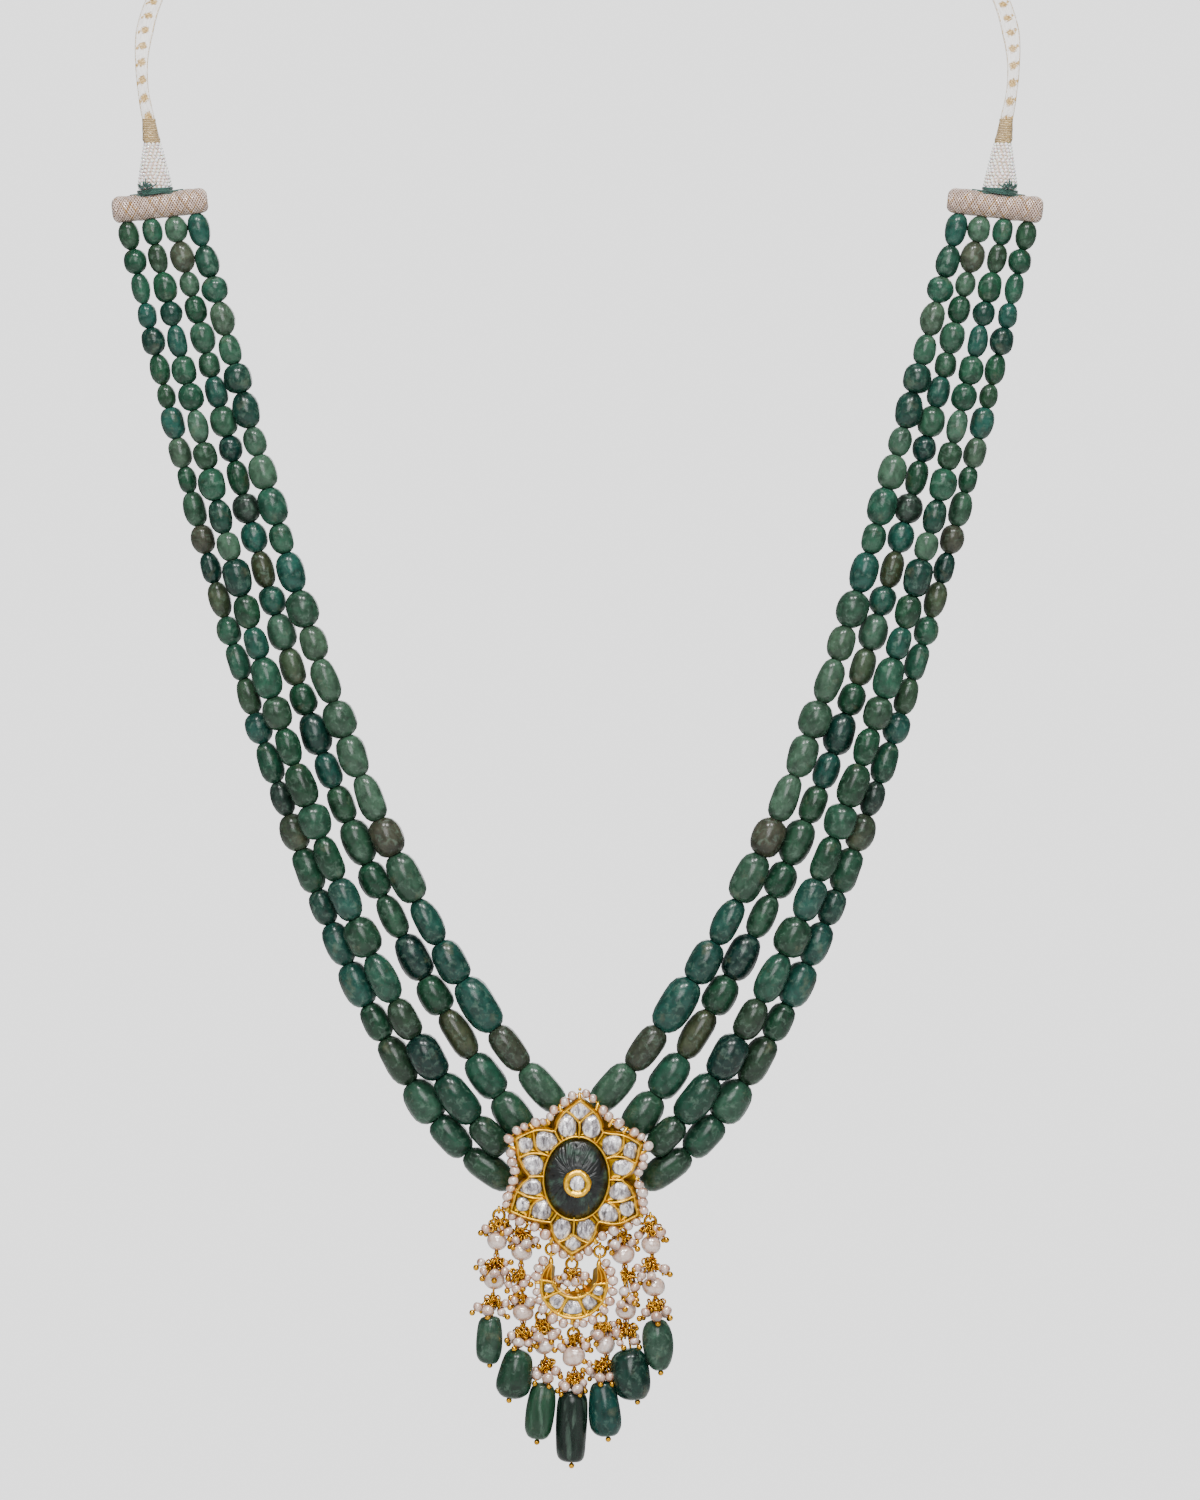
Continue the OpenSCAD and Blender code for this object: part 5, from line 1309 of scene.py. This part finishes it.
for way in (149, 178, 205, 232, 256, 270, 284, 302, 330, 358, 31):
    d = np.array([np.cos(np.radians(way)), np.sin(np.radians(way))])
    ends = [np.append(MIDDLE + d * 8.9, 0.1), np.append(MIDDLE + d * 11.1, RIM_DEPTH)]
    stout = 0.5 if way in (149, 31) else 1.0     # the two at the horns are only the wire's ends
    peg = tube(from_face(np.linspace(*ends, 4)), stout * np.array([0.5, 0.5, 0.52, 0.4]), 8)
    moon_parts.append(with_crest(peg, 0.8))
for hinge, sign in zip(HINGES, (-1, 1)):
    moon_parts += lug(MIDDLE + np.array([sign * 6.7, 5.6]), hinge, LUG_Z, 0)
for i in (3, 4, 5):
    x, z = DANGLES[i][0][0]
    eye = turned([x, z + RING_R], LEAN)
    moon_parts += lug(MIDDLE + (eye - MIDDLE) * 0.72, eye, -1.75, LEAN)
put("crescent_gold", join(moon_parts), FOIL, "crescent", ["crescent_frame"])
rng = np.random.default_rng(13)
places = np.column_stack([MIDDLE + leaning, RIM_DEPTH + rng.uniform(-0.2, 0.2, len(leaning))])
round_it = np.column_stack([-leaning[:, 1], 0 * reach, leaning[:, 0]])
edge = pearls(from_face(places), 1.15 * CRESCENT_PEARLS[:, 2], round_it, rng)
put("crescent_edge_pearls", edge, PEARL, "crescent", ["crescent_pearls"])

# %% Crescent stones
rng = np.random.default_rng(6)
cut = []
for where, w, h in ((0, 2.9, 2.0), (45, 2.2, 2.05), (-45, 2.2, 2.05), (81, 1.35, 1.5), (-81, 1.25, 1.4)):
    way = np.radians(where - 90)
    inner, outer = to_gap(way), 9.3
    mid = (inner + outer) / 2
    stone = cut_polki(w, min(h, (outer - inner) / 2 - 0.7), rng.uniform(0, 360), 0.08, rng, full=2.7)
    cut.append(on_spot(stone, MIDDLE + mid * np.array([np.cos(way), np.sin(way)]), 0.3, where))
put("crescent_polki", join(cut), POLKI, "crescent", ["crescent_stones"], smooth=False)

# %% Hinge rings
for side, hinge in zip(("left", "right"), HINGES):
    middle = from_face([hinge[0], hinge[1] + RING_R, LUG_Z])
    ring = with_crest(wire_loop(middle, RING_R, RING_WIRE, FACE_TURN, 36, 10))
    put(f"hinge_ring_{side}", ring, WIRE, "necklace", [f"ring_{side}"])
print("crescent triangles", counted["crescent_gold"])

# %% [markdown]
# ## Where the strings end
#
# The four strings of each side are gathered on a short bar that is wound criss-cross with metallic thread.
# Above it stands a sleeve of white seed beads, then a tight whipping of gold thread round the ribbon.
# The bar and the whipping are turned shapes. Their threads are too fine for mesh, so they are relief and
# colour that follow a map wound round the piece: one number along it and one number round it.

# %% Wound thread
def wound(name, base, line, dark, fine, broad, rough, metallic):
    """Thread wound both ways. fine and broad are (turns for each millimetre along, turns round): each pair
    gives two waves, sin 2 pi (a u + n v) and its mirror, and where either is high a thread lies on top."""
    m = new_material(name, Metallic=metallic, Sheen_Weight=0.3, Sheen_Roughness=0.4)
    uv = add(m, "UVMap", settings=[("uv_map", "wound")])
    own = add(m, "TexCoord")
    stray = add(m, "TexNoise", [("Vector", own, "Object")], Scale=420.0, Detail=4.0, Roughness=0.65)

    def wave(a, n):
        phase = add(m, "VectorMath", [(0, uv, "UV")], [("operation", "DOT_PRODUCT")],
                    i1=(a * 6.2832, n * 6.2832, 0))
        bent = add(m, "Math", [(0, stray, "Fac"), (2, phase, "Value")], [("operation", "MULTIPLY_ADD")],
                   i1=1.6)
        return add(m, "Math", [(0, bent, 0)], [("operation", "SINE")])

    def pair(a, n):
        if n:
            return add(m, "Math", [(0, wave(a, n), 0), (1, wave(a, -n), 0)], [("operation", "MAXIMUM")])
        return wave(a, 1)
    fine_wave, broad_wave = pair(*fine), pair(*broad)
    threads = ramp(m, fine_wave, 0, [(0.0, dark), (0.7, base), (1.0, base)])
    gold_mask = ramp(m, broad_wave, 0, [(0.86, "#000000"), (0.97, "#ffffff")])
    patchy = ramp(m, stray, "Fac", [(0.40, "#000000"), (0.58, "#ffffff")])
    share = add(m, "Mix", [(6, gold_mask, "Color"), (7, patchy, "Color")], MULTIPLY, i0=0.75)
    colour = add(m, "Mix", [(0, share, 2), (6, threads, "Color")], MIX, i7=linear(line))
    tone = ramp(m, stray, "Fac", [(0.32, "#a3968c"), (0.60, "#ffffff")])
    toned = add(m, "Mix", [(6, colour, 2), (7, tone, "Color")], MULTIPLY, i0=0.6)
    height = add(m, "Math", [(0, broad_wave, 0), (2, fine_wave, 0)], [("operation", "MULTIPLY_ADD")], i1=0.6)
    relief = add(m, "Bump", [("Height", height, 0)], Strength=0.8, Distance=0.00025)
    shine = ramp(m, stray, "Fac", [(0.3, rough), (0.7, "#6a6a6a")])
    finish_with(m, [("Base Color", toned, 2), ("Roughness", shine, "Color"), ("Normal", relief, "Normal")])
    return m


BAR_THREAD = wound("pink_gold_metallic_thread", base="#fde2d3", line="#a87c38", dark="#745142",
                   fine=(1.3, 18), broad=(0.36, 5), rough="#8a8a8a", metallic=0.2)
WHIPPING = wound("gold_thread_whipping", base="#f4daab", line="#a9803f", dark="#c4a46c",
                 fine=(2.0, 0), broad=(0.7, 6), rough="#9a9a9a", metallic=0.15)

# %% Bars
BAR_HALF, BAR_ROUND = 13.5, 2.2                  # half its length, and how round its ends are
rows, columns = 110, 56
s = BAR_HALF * np.sin(np.linspace(-np.pi / 2, np.pi / 2, rows))
from_end = np.minimum(BAR_HALF - np.abs(s), BAR_ROUND)
r = BAR_R - BAR_ROUND + np.sqrt(np.maximum(BAR_ROUND ** 2 - (BAR_ROUND - from_end) ** 2, 0))
r = np.maximum(r * (1 - 0.018 * s / BAR_HALF), 0.05)
a = around(columns)
lumps = 0.018 * np.sin(0.9 * s[:, None] + 2 * a) + 0.015 * np.sin(1.7 * s[:, None] - 3 * a + 1)
ring = r[:, None] * (0.988 + lumps)
axis = np.array([np.cos(LEAN_BAR), 0, np.sin(LEAN_BAR)])
up = np.array([-np.sin(LEAN_BAR), 0, np.cos(LEAN_BAR)])
middle = np.array([BAR_MIDDLE[0], 0, BAR_MIDDLE[1]])
section = np.cos(a)[:, None] * up - np.sin(a)[:, None] * [0, 1.0, 0]
points = middle + s[:, None, None] * axis + ring[..., None] * section
bar = capped(points, middle - BAR_HALF * axis, middle + BAR_HALF * axis, uv=grid_uv(s, columns))
for side in ("left", "right"):
    put(f"wound_bar_{side}", on_side(bar, side), BAR_THREAD, "necklace", [f"bar_{side}"])


# %% Sleeves and whippings
def oval_wall(table, z, inwards):
    """Middle x, half width and half depth of a lofted oval at each height."""
    x, heights, w, d = np.transpose(table)
    x, w, d = (np.interp(z, heights, v) for v in (x, w, d))
    return x, w / 2 - inwards, d / 2 - inwards


def oval_loft(table, z, columns, inwards=0.0, swell=0.0):
    """A closed lofted oval: at each height x = middle + half width cos a, y = half depth sin a."""
    uv = grid_uv(z, columns)
    x, w, d, z = (v[:, None] for v in (*oval_wall(table, z, inwards), z))
    a = around(columns)
    bulge = 1 + swell * np.sin(z * 2.1) * np.cos(2 * a + 0.8)
    points = np.stack([x + w * np.cos(a) * bulge, d * np.sin(a) * bulge, z + 0 * a], -1)
    return capped(points, [x[0, 0], 0, z[0, 0]], [x[-1, 0], 0, z[-1, 0]], uv=uv)


SLEEVE = [(-118.5, 276.9, 9.2, 6.6), (-118.6, 278.4, 9.6, 7), (-118.8, 282, 8.4, 6.4), (-119, 286, 6.7, 5.6),
          (-119.2, 289.4, 5.3, 4.7), (-119.2, 290, 4.8, 4.2)]
WRAP = [(-119.3, 290.2, 4.7, 4), (-119.5, 291, 5, 4.2), (-119.9, 293.6, 4.3, 3.4), (-120.2, 296.3, 3.8, 2.4)]
BEADS = new_material("white_glass_seed_beads", Roughness=0.28, Coat_Weight=0.3, Subsurface_Weight=0.2,
                     Subsurface_Scale=0.0006)
own = add(BEADS, "TexCoord")
cloudy = add(BEADS, "TexNoise", [("Vector", own, "Object")], Scale=700.0, Detail=3.0)
milk = ramp(BEADS, cloudy, "Fac", [(0.32, "#e4dbd5"), (0.5, "#f7f3f1"), (0.7, "#ffffff")])
finish_with(BEADS, [("Base Color", milk, "Color")])
BACKING = new_material("beige_backing_thread", Roughness=0.8, Sheen_Weight=0.3)
own = add(BACKING, "TexCoord")
strands = add(BACKING, "TexWave", [("Vector", own, "Object")], [("bands_direction", "DIAGONAL")],
              Scale=500.0, Distortion=3.0)
beige = ramp(BACKING, strands, "Fac", [(0.2, "#b79d88"), (0.8, "#d9c4b2")])
ridge = add(BACKING, "Bump", [("Height", strands, "Fac")], Strength=0.4, Distance=0.0002)
finish_with(BACKING, [("Base Color", beige, "Color"), ("Normal", ridge, "Normal")])

tiny = ball(4, 7)
places, ways = [], []
for k, z in enumerate(np.arange(277.4, 289.9, 0.94)):
    x, w, d = (float(v) for v in oval_wall(SLEEVE, z, 0.42))
    n = int(np.pi * (3 * (w + d) - np.sqrt((3 * w + d) * (w + 3 * d))) / 1.12)
    a = 2 * np.pi * (np.arange(n) + 0.5 * (k % 2)) / n
    places.append(np.stack([x + w * np.cos(a), d * np.sin(a), z + 0.10 * np.sin(5 * a + k)], -1))
places = np.concatenate(places)
rng = np.random.default_rng(4)
sizes = rng.uniform(0.94, 1.06, (len(places), 1)) * [0.53, 0.5, 0.46]
core = oval_loft(SLEEVE, np.linspace(276.9, 290.0, 30), 32, inwards=0.5)
whip = oval_loft(WRAP, np.linspace(289.9, 296.8, 44), 40, swell=0.02)
for side in ("left", "right"):
    put(f"sleeve_core_{side}", on_side(core, side), BACKING, "necklace", [f"cone_{side}"])
    rows_of_beads = stamp(tiny, places, np.eye(3), sizes)
    put(f"sleeve_beads_{side}", on_side(rows_of_beads, side), BEADS, "necklace")
    put(f"whipping_{side}", on_side(whip, side), WHIPPING, "necklace", [f"wrap_{side}"])
print("seed beads on one sleeve", len(places))

# %% [markdown]
# Green thread ties each sleeve to its bar: a few turns lie along the top of the bar, and its cut ends
# stand up in a small tuft at the front.

# %% Ties
def on_bar(x):
    """The height of the bar's axis at x."""
    return BAR_MIDDLE[1] + (x - BAR_MIDDLE[0]) * np.tan(LEAN_BAR)


rng = np.random.default_rng(8)
ties = []
a = around(40)
for k in range(4):
    x = -118.5 + (4.75 + 0.12 * (k % 2)) * np.cos(a)
    y = (3.35 + 0.1 * (k % 2)) * np.sin(a)
    z = on_bar(x) + 3.35 + 0.36 * k + 0.08 * np.sin(5 * a + k)
    ties.append(tube(np.stack([x, y, z], -1), 0.27, 6, across=(0, 0, 1.0), closed=True))
for k in range(3):
    x = np.linspace(-125.5 + k, -110.5 - 1.5 * k, 24)
    y = -1.2 - 0.5 * k + 0.2 * np.sin(x)
    z = on_bar(x) + np.sqrt(3.72 ** 2 - y ** 2) + 0.08
    ties.append(tube(np.stack([x, y, z], -1), 0.17, 5, across=(0, 1.0, 0)))
knot = np.array([-120.8, -3.7, 277.2])
t = np.linspace(0, 1, 9)[:, None]
for _ in range(16):
    way = unit([rng.normal(0, 0.5), -abs(rng.normal(0.3, 0.3)), rng.uniform(0.2, 1.0)])
    curl = 0.8 * rng.normal(0, 0.5, 3) * np.sin(np.pi * t)
    path = knot + rng.normal(0, [0.6, 0.15, 0.2]) + way * t * rng.uniform(1.4, 2.6) + curl
    ties.append(tube(path, 0.19, 5, across=(0.3, 1.0, 0.1)))
ties = join(ties)
for side in ("left", "right"):
    put(f"green_tie_{side}", on_side(ties, side), SILK, "necklace")

# %% [markdown]
# ## Ribbon
#
# The necklace hangs from a narrow white satin ribbon with a gold line along each edge and a small gold
# motif about every five millimetres. Only its two lower ends are in the photo. The rest is the plain way
# round the neck. Each point of the ribbon knows how far along and how far across it is, and how near it
# is to the middle of a motif, so the weave turns with the ribbon and never slides.

# %% Ribbon
GUIDES = [[-120.3, 0, 296.8], [-134, 0, 352], [-80, NECK_DEPTH, NAPE_HEIGHT], [0, NECK_DEPTH, NAPE_HEIGHT]]
t = np.linspace(0, 1, 301)
path = bezier(GUIDES, t)
tangent = unit(np.gradient(path, axis=0))
tangent[-1] = [1, 0, 0]
roll = np.radians(90 * (np.maximum(t - 0.15, 0) / 0.85) ** 1.2)
wanted = np.stack([np.cos(roll), 0 * t, np.sin(roll)], -1)
wide = unit(wanted - (wanted * tangent).sum(-1, keepdims=True) * tangent)
thick = np.cross(tangent, wide)
half_w = 2.5 * np.interp(t, [0, 0.05, 0.1, 0.16, 1], [0.72, 0.62, 0.72, 1, 1])
run = np.concatenate([[0], np.cumsum(np.linalg.norm(np.diff(path, axis=0), axis=1))])
path[0] -= [0, 0, 1.0]               # its end is hidden in the whipping
columns = 20
a = around(columns)
wave = 0.06 * np.sin(run / 3.1)[:, None] * np.cos(a)
x = half_w[:, None] * np.sign(np.cos(a)) * np.abs(np.cos(a)) ** 0.8
y = 0.42 * np.sign(np.sin(a)) * np.abs(np.sin(a)) ** 0.55 + wave
half = path[:, None] + x[..., None] * wide[:, None] + y[..., None] * thick[:, None]
other = half[-2::-1] * [-1, 1, 1]
points = np.concatenate([half, other])
length = np.concatenate([run, 2 * run[-1] - run[-2::-1]])
across = np.broadcast_to(np.cos(a), points.shape[:2])
off = across * np.concatenate([half_w, half_w[-2::-1]])[:, None]
REPEAT = 5.3                         # mm from motif to motif
slant = (REPEAT * ((length / REPEAT + 0.38) % 1 - 0.5))[:, None]


def leaf_edge(a, b, size):
    """A slanted leaf: |a + 0.4 b| / 1.5 + |b - 0.25 a| / 1.1 is its size on its edge."""
    return (np.abs(a + 0.4 * b) / 1.5 + np.abs(b - 0.25 * a) / 1.1) / size


# Two leaves a repeat
motif = np.minimum(leaf_edge(slant, off - 0.1, 1.25), leaf_edge(slant + 0.9, off + 1.3, 0.6)) / 3
grid = capped(points + WORN, path[0] + WORN, path[0] * [-1, 1, 1] + WORN, across=np.append(across, [0, 0]),
              along=np.append(np.repeat(length, columns), [0, length[-1]]), motif=np.append(motif, [3, 3]))
RIBBON = new_material("white_satin_gold_ribbon", Roughness=0.5, Sheen_Weight=0.25, Sheen_Roughness=0.3,
                      Anisotropic=0.4)
along = add(RIBBON, "Attribute", settings=[("attribute_name", "along")])
cross = add(RIBBON, "Attribute", settings=[("attribute_name", "across")])
near = add(RIBBON, "Attribute", settings=[("attribute_name", "motif")])
lay = add(RIBBON, "CombineXYZ", [("X", along, "Fac"), ("Y", cross, "Fac")])
long_threads = add(RIBBON, "Mapping", [("Vector", lay, "Vector")], Scale=(0.35, 9.0, 1.0))
satin = add(RIBBON, "TexNoise", [("Vector", long_threads, "Vector")], Scale=1.0, Detail=5.0, Roughness=0.6)
picks = add(RIBBON, "Mapping", [("Vector", lay, "Vector")], Scale=(2.4, 4.0, 1.0))
broken = add(RIBBON, "TexNoise", [("Vector", picks, "Vector")], Scale=1.0, Detail=3.0, Roughness=0.6)
white = ramp(RIBBON, satin, "Fac", [(0.30, "#cfcac5"), (0.50, "#e9e5e1"), (0.72, "#f6f4f2")])
edge = add(RIBBON, "Math", [(0, cross, "Fac")], [("operation", "ABSOLUTE")])
line = ramp(RIBBON, edge, 0, [(0.80, "#000000"), (0.84, "#ffffff"), (0.94, "#ffffff"), (0.98, "#303030")])
some = ramp(RIBBON, broken, "Fac", [(0.42, "#101010"), (0.56, "#ffffff")])
line_share = add(RIBBON, "Mix", [(6, line, "Color"), (7, some, "Color")], MULTIPLY, i0=0.9)
edged = add(RIBBON, "Mix", [(0, line_share, 2), (6, white, "Color")], MIX, i7=linear("#b99a62"))
rough_edge = add(RIBBON, "Math", [(0, broken, "Fac"), (2, near, "Fac")], [("operation", "MULTIPLY_ADD")],
                 i1=0.5)
leaf = ramp(RIBBON, rough_edge, 0, [(0.50, "#ffffff"), (0.62, "#000000")])
brocade = ramp(RIBBON, broken, "Fac", [(0.38, "#7d5f2c"), (0.52, "#b89350"), (0.66, "#dcc391")])
gilded = add(RIBBON, "Mix", [(0, leaf, "Color"), (6, edged, 2), (7, brocade, "Color")], MIX)
weft = add(RIBBON, "Bump", [("Height", satin, "Fac")], Strength=0.3, Distance=0.0002)
finish_with(RIBBON, [("Base Color", gilded, 2), ("Normal", weft, "Normal")])
put("satin_ribbon", grid, RIBBON, "necklace", ["ribbon"])
print("ribbon length", round(float(length[-1])), "mm")

# %% [markdown]
# ## Floor and light
#
# The photo is a studio shot on white. The shine on each bead is a pair of small bright patches above its
# middle, so two small lamps stand high in front, and a large one between them lights the gold. Weaker
# lamps at the sides, above, below and behind fill the shadows. The world has three strengths: white for
# the camera, dim in reflections, and dimmer still as light on the stones. That keeps the edges of the
# gems dark, as they are in the photo. The floor is a plain disc that lies below the frame.

# %% Floor
floor_mesh = bpy.data.meshes.new("floor")
a = around(96)
edge = np.stack([1.3 * np.cos(a), 1.3 * np.sin(a) - 0.1, 0 * a - 0.62], -1)
floor_mesh.from_pydata(edge.tolist(), [], [tuple(range(96))])
floor = bpy.data.objects.new("floor", floor_mesh)
floor_mesh.materials.append(new_material("pale_studio_floor", Base_Color=linear("#f1f1f0"), Roughness=0.9))
bpy.context.scene.collection.objects.link(floor)

# %% Light
world = bpy.data.worlds.new("studio")
world.use_nodes = True
bpy.context.scene.world = world
tree = world.node_tree
ray, last = tree.nodes.new("ShaderNodeLightPath"), tree.nodes["Background"]
last.inputs["Color"].default_value, last.inputs["Strength"].default_value = linear("#eef1f4"), 0.11
for kind, colour, strength in (("Is Glossy Ray", "#f1f3f6", 0.29), ("Is Camera Ray", "#ffffff", 2.1)):
    other, choose = tree.nodes.new("ShaderNodeBackground"), tree.nodes.new("ShaderNodeMixShader")
    other.inputs["Color"].default_value, other.inputs["Strength"].default_value = linear(colour), strength
    tree.links.new(choose.inputs["Fac"], ray.outputs[kind])
    tree.links.new(choose.inputs[1], last.outputs[0])
    tree.links.new(choose.inputs[2], other.outputs[0])
    last = choose
tree.links.new(tree.nodes["World Output"].inputs["Surface"], last.outputs[0])
MIDDLE_OF_ALL = (0, -0.11, -0.27)


def lamp(name, place, size, power):
    """A square soft lamp at place that faces the necklace, in metres and watts."""
    data = bpy.data.lights.new(name, "AREA")
    data.size, data.energy = size, power
    lamp_object = bpy.data.objects.new(name, data)
    lamp_object.location = place
    lamp_object.rotation_euler = (Vector(MIDDLE_OF_ALL) - Vector(place)).to_track_quat("-Z", "Y").to_euler()
    lamp_object.visible_camera = False
    bpy.context.scene.collection.objects.link(lamp_object)


lamp("key_left", (-0.34, -1.2, 1.4), 0.24, 26)
lamp("key_right", (0.42, -1.2, 1.4), 0.24, 26)
lamp("front", (0.0, -2.1, 0.55), 1.0, 30)
lamp("on_axis", (0.0, -2.3, 0.03), 0.4, 4)
lamp("fill_left", (-1.5, -1.5, 0.0), 1.4, 6)
lamp("fill_right", (1.5, -1.5, -0.2), 1.4, 5)
lamp("low", (0.2, -1.3, -1.2), 0.8, 3)
lamp("top", (0.0, 0.1, 1.3), 0.8, 5)
lamp("back", (0.3, 1.6, 0.4), 1.2, 14)

# %% Close the lesson
for name, count in counted.items():
    print(f"{name:28s}{count:8d}")
print("triangles added", sum(counted.values()), "largest piece", max(counted.values()))
